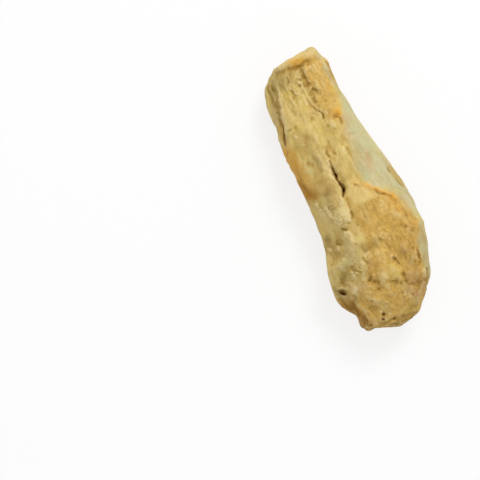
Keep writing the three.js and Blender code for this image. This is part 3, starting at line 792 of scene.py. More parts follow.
def draw_broad_end(top):
    """The rough golden skin of the broad end: cracks, knuckled lumps, pits and a rolled tip."""
    outline = [
        (5.2, 0), (5, 7.2), (7.6, 11.6), (12, 13.2), (18.4, 15.6), (22.4, 12.6), (31, 11.6), (35.5, 9.6),
        (45, 3), (45, -8), (40, -11), (33, -11.6), (29, -9.4), (26, -4.6), (22, -3.6), (17, -1.6), (12, -1.6),
        (7, -0.8),
    ]
    skin = top.patch(outline, 0.9, 0.5, gold=0.85)
    top.paint("rough", (0.25 + 0.6 * ramp(top.u, 14, 22)) * skin)
    top.dab(
        "rust", 0.3, 1.5, (17.6, 12.6), (19.6, 14), (16, 10.6), (20.6, 11.6), (14, 14), stretch=(1.3, 0.8),
        turn=30,
    )
    top.patch([(0.4, 4.2), (5, 7), (5.1, 0), (1, -0.6), (-3, 0.6), (-3, 3)], 1.4, cream=0.95)
    top.dab("rose", 0.25, 1.2, (2.8, 3))
    top.dab("lemon", 0.8, 1.5, (26.8, 3.2), (28.6, 2.4))
    top.dab("rose", 0.9, 1.6, (31, 7.8), (32.8, 7.2))
    top.crackle(skin, 5, 3.4, 0.2, 0.12, 0.2, 24)
    top.dab("rust", 0.4, 1.7, (34.4, 7.2), (36.4, 7), (34.6, 9), (32.8, 9.4), stretch=(1.2, 0.9), turn=-30)
    top.dab(
        "umber", 0.3, 1.4, (39.2, -7), (11.4, -0.8), (35.4, 7.8), (39.4, 3.2), (38.8, 4.8), (41, 3),
        (14.8, 7.2), (30.8, 5.4),
    )
    top.dab(
        "cream", 0.6, 1.6, (9, 7.2), (7.4, 1.2), (9.6, 1), (17.2, 1.4), (29, -2.2), (28.6, -0.6),
        (36.2, -4.6), (34.6, -6.4), stretch=(1.2, 0.8),
    )
    top.dab("umber", 0.4, 1.2, (26.8, -5.2), (24.8, -5), stretch=(1.3, 0.8))
    top.patch([(19, 6.4), (24, 5.6), (29, 5.6), (30, 9.4), (26, 11.4), (20, 11)], 3, rust=0.22)
    # darker patches on the flat part, and the lumps of the knuckle
    top.dab(
        "umber", 0.26, 1.1, (6.6, 5.2), (6.4, 2.4), (10.4, -0.4), (12.6, 6.8), (16.6, 8.4), (21.4, 6.2),
        (19.6, 7.6), (9.6, 1.4), stretch=(1.2, 0.8),
    )
    top.dab("umber", 0.45, 0.6, (17.2, 11), (18.8, 12.9), (23.6, 10.9), (16, 9.9), (14.2, 12.6), (18.4, 10.6))
    top.swell(
        0.4, 2.4, (26.8, 2.6), (21.4, 1.4), (28.2, -1.4), (34.8, 0.2), (15.6, 3.6), stretch=(1.3, 0.9),
        turn=-15,
    )
    top.swell(
        0.3, 1.6, (18.6, 5.4), (22.6, 8.4), (26.6, 9.6), (30.8, 7.4), (36.4, -2.8), (31.8, -6.8), (12.4, 9.9),
        stretch=(1.3, 0.9), turn=25,
    )
    top.swell(
        -0.35, 1.5, (18.2, 0.2), (23.6, 6.6), (25, -4.2), (33.6, 7.4), (30.6, 1), (35.4, -7.8), (28.2, -4),
        stretch=(1.3, 0.9), turn=30,
    )
    top.groove(
        0.24, 0.18, 0, "bark", 0.55,
        [(23.9, 4.1), (25.6, 4.9), (26.8, 5.2)], [(29.4, 4.9), (30.4, 5.05), (32.5, 4.9)],
        [(24.3, 11.5), (25.4, 11.5), (27.8, 11.2)], [(16.4, 11.4), (17.2, 11), (17.4, 10.4)],
        [(18.2, 13.2), (18.8, 12.6), (19, 12.2)], [(23, 10.8), (23.9, 10.6), (24.2, 10.2)],
        [(27.4, 9.6), (28.4, 9.8)], [(31.4, 4), (31.9, 3.2), (32.4, 2.6)], wander=0.12,
    )
    top.dab("bark", 0.6, 0.55, (24, 4.1), (27, -4.5), (27.6, -5), (26.6, -4.2))
    top.dab("bark", 0.5, 0.42, (24.1, 4.1), (32, 4.9), (27.5, -5), (28.2, -4.2), (31, -3.8))
    top.groove(
        0.42, 0.18, 0.03, "umber", 0.4,
        [(16.2, 2.4), (17.4, 2.5), (19.4, 3.8), (22, 3.9)],
        [(24.3, 3.8), (25.1, 3.2), (25.2, 2.4), (24.6, 1.4)], [(30.4, 2.6), (30.7, 1.2), (30.2, -1.6)],
        [(31.4, 4.4), (31.9, 3.2), (31.4, 2), (32.2, 1)], [(25.2, 8.8), (26.4, 8.4), (27.2, 8)], wander=0.25,
    )
    top.groove(0.5, 0.15, 0, "umber", 0.5, [(28.4, 5.6), (29.6, 5), (32.6, 4.8), (33.2, 5.8), (34.2, 8)])
    top.dab("umber", 0.5, 0.6, (24.2, 4.1), (29.7, 4.8), (31.6, 4.9))
    top.dab(
        "olive", 0.8, 1.2, (17.8, 0.6), (18.6, -2.4), (18.4, -0.8), (17, -3.6), (24.8, 7.4), (27, 8.6),
        (23.6, 7), stretch=(0.9, 1.2),
    )
    top.groove(
        0.4, 0.16, 0.03, "umber", 0.4,
        [(17.6, -0.6), (18.4, -0.9), (19.6, -3.4)], [(16.8, -3.2), (18, -3), (19, -3.4)],
    )
    top.groove(
        0.36, 0.16, 0.04, "umber", 0.6,
        [(20, -4.4), (22, -3.8), (23, -3.6)], [(23.8, -3.8), (24.5, -4.2)],
    )
    # painted highlights along ridges
    top.groove(
        0.4, -0.12, 0, "chalk", 0.7,
        [(19.2, -1.8), (19.8, -2.8), (20.3, -3.9)], [(20.4, -5.4), (21.4, -4.9), (22.8, -4.5)],
        [(20.6, -1.6), (21.4, -2.6)],
    )
    top.dab("rose", 0.8, 0.9, (22.6, -3), (22.6, 8), stretch=(1.6, 0.8))
    top.groove(
        0.6, 0.22, 0.03, "umber", 0.7,
        [(26.4, -4.2), (27.1, -4.7), (27.8, -5.4)], [(28, -4.4), (28.8, -3.5), (29.8, -2.9)],
    )
    top.dab("umber", 0.4, 0.9, (25.7, -4.3), (31, -3.8), (30.6, 2.2))
    top.pit(0.42, 0.25, 0.03, 0.45, (31, -3.8), (15.9, -4.6), (34.8, 2.4), (33.4, -7), (36.5, 5))
    # towards the back shoulder: pinkish ribs, a pale ridge with a painted highlight, and a grey hollow
    top.groove(0.4, 0.24, 0.05, "umber", 0.7, [(24.2, 11.5), (26.6, 11.3), (28, 11.1), (28.8, 10.6)])
    top.groove(0.7, 0.2, 0, "umber", 0.4, [(28.2, 10.4), (29.8, 10)], [(33, 8.8), (33.8, 7.8), (35, 6.9)])
    top.dab("umber", 0.35, 0.7, (30.9, 8), (32.2, 8.4), (29.9, 9.2), turn=35)
    top.groove(
        0.42, -0.25, 0, "chalk", 0.9,
        [(33.6, 9.6), (36, 7.8), (37.2, 6.4)], [(30.6, 11.3), (32, 10.9), (33.4, 10.2)],
    )
    top.groove(
        0.5, 0.25, 0, "olive", 0.8,
        [(30.4, 12), (32, 11.6), (35.6, 9.6)], [(33.2, 10.3), (34.8, 9.7), (36.2, 8.6)],
    )
    top.dab("rose", 1, 1.5, (36.8, 6.4))
    top.dab("ash", 0.9, 1.6, (34.6, 5.2), (34.8, 4))
    top.dab("mint", 0.6, 1.2, (31.6, 11.4), (38.2, 5.2), turn=-35)
    top.dab("lemon", 0.9, 1.2, (41.2, 2.6))
    # the tip: a rolled brown edge, dark flecks, open scars, and painted shade past the edge
    rolled = [(42.2, 2.2), (42.2, -0.2), (40.9, -3.2), (41.3, -4.8), (40.6, -8.2)]
    top.groove(0.5, 0.25, 0.05, "umber", 0.5, rolled, wander=0.25)
    top.pit(0.42, 0.3, 0.05, 0.8, (42.1, 2.2), (42.4, 0.9))
    top.groove(0.36, 0.3, 0, "umber", 0.7, [(40.5, -2.6), (40.8, -3.4)])
    # past the rolled edge the tip is painted darker: painted shade where it turns away from the light
    top.patch([(42.8, 4), (46, -9), (41.4, -8.6), (42, -5), (41.8, -2), (42.8, 0.4)], 1, umber=0.8)
    top.pit(0.55, 0.7, 0.1, 0.9, (38.5, -5.5), stretch=(1.2, 0.8))
    top.dab(
        "bark", 0.9, 0.42, (38.4, -5.4), (39.9, -6), (42.1, 2.2), (42.4, 0.8), (41.2, -0.1), (40.7, -2.8),
        stretch=(1, 1.2),
    )
    top.pit(0.38, 0.5, 0.05, 0.7, (39.8, -6))
    top.dab("chalk", 0.9, 0.5, (38.9, -3.6), (37, -5.8))
    # painted shade in a hollow
    top.dab("umber", 0.5, 0.9, (35.2, -8.6), (34.6, -8), (36.9, -7.4), stretch=(1.3, 0.8), turn=20)


def draw_front_shoulder(top):
    """The front of the broad end: a smooth thumb hollow, a deep scar, pale creases with painted highlights,
    and a broken brown rim.
    """
    top.patch([(12.4, -6.2), (15.4, -4.6), (22.6, -5.6), (20, -9.8), (13.6, -8.2)], 1, ash=0.75, smooth=0.6)
    top.dab("mint", 0.5, 1.4, (19.8, -8.6), (20.4, -11))
    top.dab("umber", 0.4, 0.7, (11.6, -11.2), (14.6, -11.4), (16.8, -12.6), stretch=(1.5, 0.7))
    top.dab("chalk", 0.5, 0.6, (21, -8.8))
    top.swell(0.3, 1.8, (17.6, -7), (20.2, -11.4), (21.4, -14.4), stretch=(1.4, 0.8))
    ring = [(13.3 + 0.75 * math.cos(turn), -8.9 + 0.65 * math.sin(turn)) for turn in np.arange(0.4, 7.2, 0.6)]
    top.groove(0.32, 0.05, 0, "umber", 0.8, [*ring, *ring[:3]], wander=0.03)
    top.dab("umber", 0.35, 1.1, (13.3, -8.8))
    top.dab(
        "umber", 0.4, 1, (13.8, -10.8), (17.2, -10.2), (10.8, -12), (15.4, -12.8), (16.2, -10.9),
        stretch=(0.9, 1.2),
    )
    # painted highlights along the pale creases
    top.groove(
        0.42, -0.28, 0, "chalk", 0.8,
        [(13.8, -10.3), (15, -10.2), (16.2, -10.5)], [(12.6, -12.5), (13.8, -12.5), (14.6, -13.2)],
        [(21, -6), (23, -4.9), (24.8, -5.2)], [(24.4, -6.4), (25.2, -6.1), (26, -6.4), (26.2, -7.6)],
        [(22.8, -9.2), (24, -9.2), (25, -9)], [(23.4, -8), (24.2, -7.8)],
    )
    top.wrinkles(22, (11, -14), (28, -9), (0.8, 2.6), 0.32, 0.12, 0.3, 6, 0.5)
    top.wrinkles(16, (20, -9.5), (34, -5), (0.8, 2.4), 0.28, 0.1, 0.25, 7, 0.8)
    # a rough torn place, then the pinkish rough slope with a greenish hollow in it, darkened with painted
    # shade, and a deep notch
    top.wrinkles(18, (21.2, -9.6), (25.2, -5.6), (0.4, 1.2), 0.26, 0.08, 0.2, 29, 1.6)
    top.groove(0.4, 0.1, 0.04, "umber", 0.35, [(20.8, -9.3), (22.8, -8.5), (23.1, -7.6), (24.4, -6.2)])
    top.pit(0.34, 0.12, 0.06, 0.4, (23.3, -7.6), (24.1, -6.5), (23.8, -8.9), (23, -6.5))
    top.dab("rose", 1, 1.6, (28.4, -9.2))
    top.dab("olive", 0.35, 1.2, (21, -5.2), (15.2, -5.6))
    top.dab(
        "chalk", 0.7, 0.8, (25, -9.2), (24.2, -8.8), (28.4, -10.6), (28.8, -11), (21, -11.2),
        stretch=(1.3, 0.8),
    )
    top.swell(-0.6, 2.1, (24.2, -12), stretch=(1.3, 0.8), turn=-25)
    # olive and umber in the hollow: its greenish tint, and painted shade
    top.dab("olive", 0.9, 1.7, (23.6, -11.6), (24.8, -12.4), stretch=(1.3, 0.8), turn=-30)
    top.dab("umber", 0.45, 1.5, (24, -12), turn=-30)
    top.groove(0.6, -0.35, 0, "rose", 0.8, [(25.8, -10.4), (27, -11.4), (27.2, -12.6), (26, -15.4)])
    # a painted highlight along a ridge
    top.groove(0.5, -0.35, 0, "chalk", 0.8, [(27.4, -9.8), (28.6, -10.6), (29.4, -11.6)])
    top.slit([(26.4, -15), (27, -14.4), (27.7, -13.9), (28.4, -13)], 1.3, 1.4, 1, wander=0.15)
    top.dab("umber", 0.6, 0.9, (27.5, -14), (28.3, -13.1), turn=45)
    top.dab("bark", 1, 0.75, (27.2, -14.3), stretch=(1.4, 0.8), turn=45)
    top.dab("umber", 0.45, 1.1, (26.6, -15.6), (28.8, -15.2), stretch=(1.4, 0.7))
    top.dab("umber", 0.45, 1, (28.6, -12.8), (31.6, -11.2), stretch=(1.3, 0.8))
    top.dab("olive", 0.7, 0.9, (25.8, -16.2), (28.4, -16))
    # the broken rim, rust and brown, with the open rootlet tube at its end
    outline = [
        (28.2, -15.4), (29.4, -13.8), (32.1, -12.4), (35.3, -11.1), (38.8, -10.2), (39.8, -11), (40, -15.6),
        (28.6, -18.6),
    ]
    rim = top.patch(outline, 1, 0.4, -0.3, rough=1)
    clouds = top.noise(2.4, 1, 33, 2)
    top.paint("rust", rim * ramp(clouds, 0.7, -0.4))
    top.wipe("gold", 0.6 * rim)
    top.paint("amber", 0.9 * rim * ramp(clouds, -0.1, 0.5))
    top.dab("umber", 0.7, 0.9, (31.8, -13.2), (30.9, -14.4))
    top.groove(0.32, 0.08, 0, "bark", 0.35, [(30.2, -14.9), (32.2, -13.2), (34.8, -12.1), (37.6, -11.4)])
    top.groove(
        0.5, 0.2, 0, "rust", 0.9,
        [(30, -14.9), (32, -13.1), (34.6, -12), (36, -11.7)], [(36.6, -11.3), (37.6, -10.7), (39.4, -10.1)],
    )
    top.wrinkles(12, (30, -15.5), (40, -11.6), (1, 3), 0.3, 0.25, 0.5, 8, 0.6)
    top.pit(0.5, 0.9, 0.12, 1, (40.1, -10.4))
    top.dab("bark", 1, 0.5, (40.1, -10.5))
    top.dab("rust", 0.9, 1, (36.6, -12), (29.6, -15), (30.4, -13.9), (31.6, -13.2))
    top.dab("bark", 0.5, 0.5, (37.2, -11.2), (38, -10.7))
    top.dab("rust", 1, 0.6, (39.9, -10))


def draw_top():
    """What is seen from above. The functions keep this order, since each draws over what is there."""
    top = Chart((-47, 47), (-20, 20), seed=100)
    # the skin that is left at the narrow end, and the long fibres there and in the middle
    top.patch(
        [(-44, 9), (-41.5, 7.4), (-38, 0.8), (-21, 3), (-19, 6), (-24, 8.2), (-30, 8.6)], 2.2, 0.8, gold=0.75,
        rough=0.4,
    )
    fibrous = top.patch([(-41, 7), (-41, -8), (-30, -9.5), (-17, 3), (-24, 6)], 3, fibre=0.6, rough=0.4)
    top.crackle(fibrous, 5, 1.3, 0.18, 0.1, 0.14, 12)
    top.patch([(-21, 6), (-2, -11), (-4, 5)], 3, fibre=0.5)
    draw_narrow_end(top)
    draw_front_fold(top)
    draw_middle(top)
    draw_plateau(top)
    draw_broad_end(top)
    draw_peeled_face(top)
    draw_front_shoulder(top)
    return top


# ------------------------------------------------------------------------------------ round the root


def draw_round():
    """The flanks and the underside, unrolled. v is 0 underneath, + up the back and - up the front."""
    half_turn = math.pi * GIRTH
    girth = Chart((-47, 47), (-half_turn, half_turn), seed=200)
    # knife-smooth pale facets between strips of golden skin
    facets = (
        [(-40, 13), (-20, 12), (0, 13.5), (16, 14), (24, 18), (10, 25), (-26, 26), (-40, 22)],
        [(-34, 1.5), (-18, 3), (-2, 2), (8, 4), (4, 9), (-14, 9.5), (-30, 8)],
        [(-6, -8), (10, -9), (24, -7), (30, -4), (22, 1), (4, 0), (-6, -3)],
        [(-30, -13), (-14, -14.5), (-4, -12), (-10, -7.5), (-26, -7)],
        [(2, -17), (14, -18), (22, -21), (30, -18), (20, -12.5), (6, -12)],
        [(14, 5), (28, 6), (36, 9), (30, 13), (16, 11)],
        [(18, 17), (27, 16), (35, 13.5), (41, 15), (42, 24), (20, 26)],
    )
    for outline in facets:
        girth.patch(outline, 1.3, 0.8, -0.15, bare=0.75, smooth=0.85)
    tip = girth.patch(
        [(24, -40), (50, -40), (50, 40), (30, 40), (34, 12), (30, 0), (32, -14)], 2.6, 1.4, umber=0.3,
    )
    girth.paint("gold", 0.8 * np.maximum(tip, ramp(girth.noise(15, 6, 3, 2), -0.1, 0.4)))
    girth.paint("rough", 0.95 * np.maximum(tip, ramp(girth.noise(17, 8, 4, 2), -0.15, 0.3)))
    girth.wipe("gold", girth.coats["bare"])
    girth.wipe("rough", girth.coats["smooth"])
    girth.paint("fibre", 0.8 * ramp(girth.noise(13, 7, 5, 2), -0.1, 0.4))
    tints = (("amber", 0.6), ("rose", 0.7), ("ash", 0.6), ("lemon", 0.5), ("olive", 0.7))
    for seed, (coat, amount) in enumerate(tints, 21):
        girth.paint(coat, amount * ramp(girth.noise(7, 4, seed, 3), 0.28, 0.7))
    # the amber stain that runs off the front edge, and the brown rim's foot
    stain = [
        (-20, -30), (-19, -19.5), (-14, -16.5), (-9, -17.5), (-5, -16.5), (-3, -19), (-1.5, -22), (-1.4, -30),
    ]
    girth.patch(stain, 4, 2.4, where=ramp(girth.noise(5, 3, 31, 2), -0.7, 0.2), amber=0.9)
    peeled = girth.inside([(-28, 15), (-2, 14), (16, 15), (34, 14), (42, 16), (42, 25), (-28, 25)], 4, 1.2)
    for coat in ("amber", "olive", "gold"):
        girth.wipe(coat, 0.85 * peeled)
    foot = girth.inside(
        [(28, -34), (28, -20), (31, -17.5), (35, -16.5), (38, -17.5), (41, -17), (41, -34)], 3.4, 1.2,
    )
    girth.paint("rust", foot * ramp(girth.noise(2.6, 1.2, 28, 2), 0.7, -0.4))
    girth.paint("amber", 0.5 * foot * ramp(girth.noise(2.6, 1.2, 26, 2), -0.1, 0.4))
    girth.crackle(foot, 2.2, 1.2, 0.2, 0.14, 0.4, 27)
    strip = girth.patch(
        [(-2.7, 19.6), (0.6, 19), (4.1, 19.4), (4, 26), (-2.9, 26)], 0.8, 0.4, gold=0.9, olive=0.7,
    )
    girth.wipe("bare", 0.9 * strip)
    # long furrows and folds, from drying
    girth.groove(
        0.8, 0.55, 0.12, "umber", 0.4,
        [(-38, -15.5), (-30, -14.6), (-22, -15.2), (-12, -15.8)],
        [(-16, -11), (-4, -10.5), (10, -11.2), (24, -11)], [(-38, -6), (-28, -5.5), (-14, -6.2), (-2, -5.2)],
        [(-38, 10.2), (-26, 10.4), (-12, 10.9), (4, 10.8), (14, 12.6)],
        [(12, 3.6), (22, 3.4), (32, 4.6), (38, 5.2)], [(18, 17), (27, 15.5), (36, 16)], wander=0.3,
    )
    girth.groove(
        0.4, 0.5, 0.1, "umber", 0.5,
        [(-14, -16.4), (-4, -15.2), (4, -15.6)], [(24, -16.6), (30, -14.6), (36, -14.8)],
        [(-8, 15.6), (2, 15), (12, 16.4)], [(-36, 16.6), (-28, 15.8), (-20, 16.4)], wander=0.3,
    )
    girth.slit([(-2, -10.9), (3, -10.7), (7, -11.1)], 0.7, 2.2)
    girth.slit([(-24, 10.6), (-20, 10.4), (-17, 10.8)], 0.6, 1.8)
    girth.slit([(16, -14.2), (18, -14.8), (20, -14.6), (23, -14.9)], 0.4, 1.2, wander=0.25)
    girth.crackle(girth.coats["rough"], 4.5, 2.8, 0.18, 0.16, 0.35, 30)
    girth.crackle(girth.coats["fibre"], 7, 1.3, 0.15, 0.14, 0.3, 33)
    girth.wrinkles(110, (-41, -20), (41, 20), (2.5, 9), 0.34, 0.24, 0.35, 40, 0.12)
    # rootlets grew underneath and low on the flanks, and were cut off: round scars with a raised rim
    random = np.random.default_rng(501)
    for _ in range(26):
        at = (random.uniform(-34, 39), random.normal(0, 8))
        size = random.uniform(0.5, 1.15)
        girth.dab("gold", 0.6, 2.1 * size, at)
        girth.pit(size, 0.35 + 0.35 * size, 0.16, 0.75, at, stretch=(1.15, 1))
        girth.swell(0.25, 0.45 * size, at)
    return girth


def draw_narrow_face():
    """The cut face of the narrow end: a pale rind, a brown ring inside it, and cracks from its middle."""
    face = Chart((-15, 15), (-2, 24), seed=400)
    middle = (0.6, 9)
    reach = np.hypot((face.u - middle[0]) / 6.6, (face.v - middle[1]) / 5.6) + 0.07 * face.noise(3, 3, 1, 2)
    face.paint("bare", 0.7 * ramp(reach, 0.95, 0.6))
    face.paint("gold", 0.7 * ramp(reach, 0.62, 0.5) * ramp(face.noise(2.5, 2.5, 2, 2), -0.3, 0.3))
    ring = bell(reach - 0.68, 0.045) * ramp(face.noise(4, 4, 3), -0.5, 0.2)
    face.paint("umber", 0.5 * ring)
    face.relief -= 0.25 * ring + 0.5 * ramp(reach, 0.8, 0.3)
    face.paint("rough", 0.8 * ramp(reach, 0.7, 0.5))
    face.paint("fibre", 0.5)
    for turn in (10, 75, 130, 205, 285, 330):
        tip = (math.cos(math.radians(turn)) * 3.2, math.sin(math.radians(turn)) * 2.6)
        line = [(middle[0] + share * tip[0], middle[1] + share * tip[1]) for share in (0.2, 1)]
        face.groove(0.24, 0.25, 0, "umber", 0.5, line, wander=0.4)
    face.crackle(ramp(reach, 1.2, 0.2), 1.8, 1.8, 0.14, 0.15, 0.4, 8)
    return face


def draw_broad_face():
    """The broken face of the broad end: rough, with old leaf-scar rings and pits."""
    face = Chart((-18, 15), (-2, 24), seed=450)
    middle = (-2.5, 9.2)
    reach = np.hypot((face.u - middle[0]) / 8, (face.v - middle[1]) / 6) + 0.1 * face.noise(3, 3, 1, 2)
    for ring in (0.35, 0.62, 0.9):
        line = bell(reach - ring, 0.09) * ramp(face.noise(4, 4, 7), -0.2, 0.5)
        face.relief -= 0.22 * line
        face.paint("umber", 0.4 * line)
    face.paint("gold", 0.85)
    face.paint("rough", 0.95)
    face.paint("umber", 0.25 + 0.25 * ramp(reach, 0.5, 0.1))
    face.paint("rose", 0.6 * ramp(face.noise(4, 3, 12, 2), 0.1, 0.6))
    face.crackle(1, 2.6, 2.4, 0.17, 0.2, 0.4, 9)
    face.pit(0.55, 0.6, 0.1, 0.9, (-5.4, 11), (-0.6, 7.2), (-3, 12.8), (2, 10.4), (-6.6, 7), (-9.4, 9))
    face.pit(0.3, 0.35, 0.05, 0.8, (-2, 10.2), (3.6, 8), (-4, 5.4), (0.4, 12), (-7.6, 12.2))
    return face


# ------------------------------------------------------------------------------------ carving

# Strokes of the peeling knife: middle and half length along x, degrees round the root, and how deep.
KNIFE_STROKES = (
    (-10, 26, 128, 0.5),
    (22, 14, 118, 0.4),
    (-26, 15, 84, 0.6),
    (-2, 18, 72, 0.8),
    (26, 12, 66, 0.7),
    (-16, 20, 42, 0.7),
    (14, 16, 34, 0.6),
    (-30, 12, -34, 0.6),
    (-4, 18, -40, 0.9),
    (24, 13, -46, 0.7),
    (-20, 14, -74, 0.5),
    (10, 15, -78, 0.6),
    (6, 9, -128, 0.5),
    (-34, 9, 20, 0.4),
    (36, 8, 28, 0.5),
)

# Soft hollows, and swellings where the depth is negative: where, how large along each axis, and how deep.
HANDLED = (
    ((-42, 7.4, 10), (1.8, 1.8, 6), -0.5),
    ((37.2, -14.6, 8), (3.4, 2.6, 7), 1),
    ((-14, 13.5, 5), (7, 4, 3), 0.7),
    ((14, 18, 5), (6, 4, 3), 0.6),
    ((-30, 11, 4), (5, 4, 3), -0.6),
    ((2, 16, 3), (5, 4, 3), -0.5),
    ((-6, -14, 5), (6, 4, 3), 0.8),
    ((12, -14, 4), (5, 4, 3), -0.6),
    ((30, -17, 4), (6, 4, 3), 0.8),
    ((44, 2, 12), (2, 4, 4), 0.6),
    ((44, -4, 6), (2, 3, 3), -0.4),
    ((-43.8, 0, 8), (1.6, 4, 4), 0.5),
    ((-11, 12, 9), (12, 3.5, 6), -1.1),
    ((-25, 10, 9), (4, 3, 6), -0.4),
    ((3.5, 15, 8), (5, 3, 6), -0.6),
    ((-36, 9.6, 10), (4, 3, 6), -0.5),
    ((-2, -13, 8), (11, 3, 6), -0.5),
    ((22.5, -15.5, 8), (7, 3, 6), -1.5),
    ((42, 4.6, 9), (2.4, 2.2, 5), -0.9),
)

# Which way each broken corner faces, and how far out the root still reaches there.
BROKEN_CORNERS = (((0.68, 0.733, 0), 31.9), ((-0.99, -0.137, 0), 42.6), ((0.93, -0.33, 0.16), 43))

# Knobs: where, and how large along each axis. The second closes the crack again towards its bottom.
KNOBS = (((40.2, -10.9, 7), (1.5, 1.7, 2.8)), ((-2.5, -1.7, 15.6), (5, 1.8, 2.7)))


class Wrap:
    """The charts laid on the root: which of them rules where, and what they say there."""

    def __init__(self, block):
        self.block = block
        self.line, *self.middle = block.middle_line()
        self.top = draw_top()
        self.girth = draw_round()
        self.narrow_face = draw_narrow_face()
        self.broad_face = draw_broad_face()
        charts = (self.top, self.girth, self.narrow_face, self.broad_face)
        self.coats = sorted({name for chart in charts for name in chart.coats})
        self.facing_x = np.gradient(block.smooth, VOXEL, axis=0)

    def lay(self, x, y, z):
        """For points near the surface: each chart with its coordinates there and the share that it rules."""
        middle_y, middle_z, waist = (np.interp(x, self.line, column) for column in self.middle)
        angle = np.arctan2(y - middle_y, middle_z - z)
        above = ramp(z, waist + TOP_FROM, waist + TOP_FULL)
        facing = self.block.sample(self.facing_x, x, y, z)
        narrow = ramp(-facing, *END_FACE) * (x < 0) * (1 - 0.8 * ramp(z, *NARROW_RIM))
        broad = ramp(facing, *END_FACE) * (x > 0)
        side = (1 - narrow) * (1 - broad)
        # the top is drawn as it looks from a point high above it, so nearer parts are spread a little
        spread = CAMERA_HEIGHT / (CAMERA_HEIGHT - (z - MIDDLE_HEIGHT))
        seen = [centre + (a - centre) * spread for a, centre in zip((x, y), FRAME_CENTRE)]
        # an edge drawn from above would run straight down a steep flank, so it is let wander there
        below = ramp(z, waist + WANDER_FROM, waist + WANDER_FULL)
        seen[0] = seen[0] + below * (3.2 * noise(x / 6, y / 6, z / 2.8, 41) + 0.3 * (z - waist - WANDER_FROM))
        seen[1] = seen[1] + below * 1.2 * noise(x / 4, y / 6, z / 3, 43)
        return (
            (self.top, *seen, above * side),
            (self.girth, x, GIRTH * angle, (1 - above) * side),
            (self.narrow_face, y, z, narrow),
            (self.broad_face, y, z, broad),
        )

    def relief(self, laid):
        return sum(share * chart.read(chart.relief, u, v) for chart, u, v, share in laid)

    def coat(self, name, laid):
        shown = [row for row in laid if name in row[0].coats]
        return sum(share * chart.read(chart.coats[name], u, v) for chart, u, v, share in shown)


def grain(x, y, z, rough, smooth, fibre):
    """The fine relief of the skin, in mm: lumps, crumbs where it is rough, and wrinkles along its fibres."""
    lumps = 0.22 * layered(x / 7.5, y / 5.0, z / 5.0, 1, 2)
    wander = 0.9 * noise(x / 6.0, y / 3.0, z / 3.0, 5)
    knuckles = 2 * np.abs(noise(x / 5.0 + 0.4 * wander, y / 3.6, z / 3.6, 3)) - 0.7
    folds = 2 * np.abs(noise(x / 8.0, y / 2.0 + wander, z / 2.0 + wander, 7)) - 0.7
    threads = noise(x / 3.2, y / 0.6 + wander, z / 0.6, 9)
    crumbs = layered(x / 1.5, y / 1.2, z / 1.2, 12, 2)
    pocks = ramp(noise(x / 1.3, y / 1.1, z / 1.1, 17), 0.36, 0.66)
    calm = 1 - 0.85 * smooth
    return (
        lumps * (0.4 + 0.6 * calm)
        + (0.06 + 0.11 * rough + 0.1 * fibre) * knuckles * calm
        + (0.05 + 0.22 * fibre) * folds * calm
        + (0.03 + 0.06 * fibre) * threads * (0.3 + 0.7 * calm)
        + (0.03 + 0.07 * rough) * crumbs * (0.2 + 0.8 * calm)
        - 0.1 * rough * pocks
    )


def shape_body(block):
    """The large shape: what the knife took off, what is swollen or sunk, and the broken corners."""
    for stroke in KNIFE_STROKES:
        block.pare(*stroke)
    for at, size, deep in HANDLED:
        block.press(at, size, deep)
    for normal, reach in BROKEN_CORNERS:
        block.trim(normal, reach)
    for at, size in KNOBS:
        block.stump(at, size)


def carve(block, wrap):
    """Cuts the charts' relief and then the grain, and keeps what is left inside the CAD part's box."""
    index, (x, y, z) = block.near(0.2 - SKIN, RELIEF_REACH)
    block.depth[index] -= wrap.relief(wrap.lay(x, y, z))
    index, (x, y, z) = block.near(-GRAIN_DEPTH, GRAIN_DEPTH)
    laid = wrap.lay(x, y, z)
    rough, smooth, fibre = (wrap.coat(name, laid) for name in ("rough", "smooth", "fibre"))
    block.depth[index] -= grain(x, y, z, rough, smooth, fibre)
    low, high = (np.array(corner) / MM for corner in cad_box)
    for axis, line in enumerate(block.axes()):
        block.depth = np.maximum(block.depth, np.maximum(low[axis] - line, line - high[axis]))


def largest_piece(mesh):
    """Deletes whatever isn't joined to the main body."""
    work = bmesh.new()
    work.from_mesh(mesh)
    unseen = set(work.verts)
    pieces = []
    while unseen:
        piece = []
        front = [unseen.pop()]
        while front:
            vert = front.pop()
            piece.append(vert)
            for edge in vert.link_edges:
                other = edge.other_vert(vert)
                if other in unseen:
                    unseen.remove(other)
                    front.append(other)
        pieces.append(piece)
    pieces.sort(key=len)
    bmesh.ops.delete(work, geom=[vert for piece in pieces[:-1] for vert in piece], context="VERTS")
    work.to_mesh(mesh)
    work.free()


def thinned(piece):
    """Applies a Decimate modifier that brings the mesh down to MOST_TRIANGLES."""
    triangles = sum(len(face.vertices) - 2 for face in piece.data.polygons)
    decimate = piece.modifiers.new("thin", "DECIMATE")
    decimate.ratio = min(1.0, MOST_TRIANGLES / triangles)
    mesh = bpy.data.meshes.new_from_object(piece.evaluated_get(bpy.context.evaluated_depsgraph_get()))
    piece.modifiers.clear()
    piece.data = mesh


def colour_attributes(mesh, block, wrap):
    """Stores each coat at the vertices, how sunk each vertex is, which sets the painted shade in recesses,
    and how far it stands over its surroundings at two widths, which sets painted highlights on crests and
    painted shade in hollows.
    """
    points = np.empty(len(mesh.vertices) * 3, np.float32)
    mesh.vertices.foreach_get("co", points)
    x, y, z = points.reshape(-1, 3).T / MM
    laid = wrap.lay(x, y, z)
    values = {name: wrap.coat(name, laid) for name in wrap.coats}
    # how deep under the smooth form each vertex lies: it sets the painted shade in recesses
    values["sunk"] = -block.sample(block.smooth, x, y, z) / SUNK
    # how far each vertex stands over its surroundings: it sets the painted highlights and shade
    for name, width, most in CRESTS:
        values[name] = 0.5 + 0.5 * block.sample(blurred(block.depth, width / VOXEL), x, y, z) / most
    for name, value in values.items():
        layer = mesh.attributes.new(name, "FLOAT", "POINT")
        layer.data.foreach_set("value", np.clip(value, 0, 1).astype(np.float32))


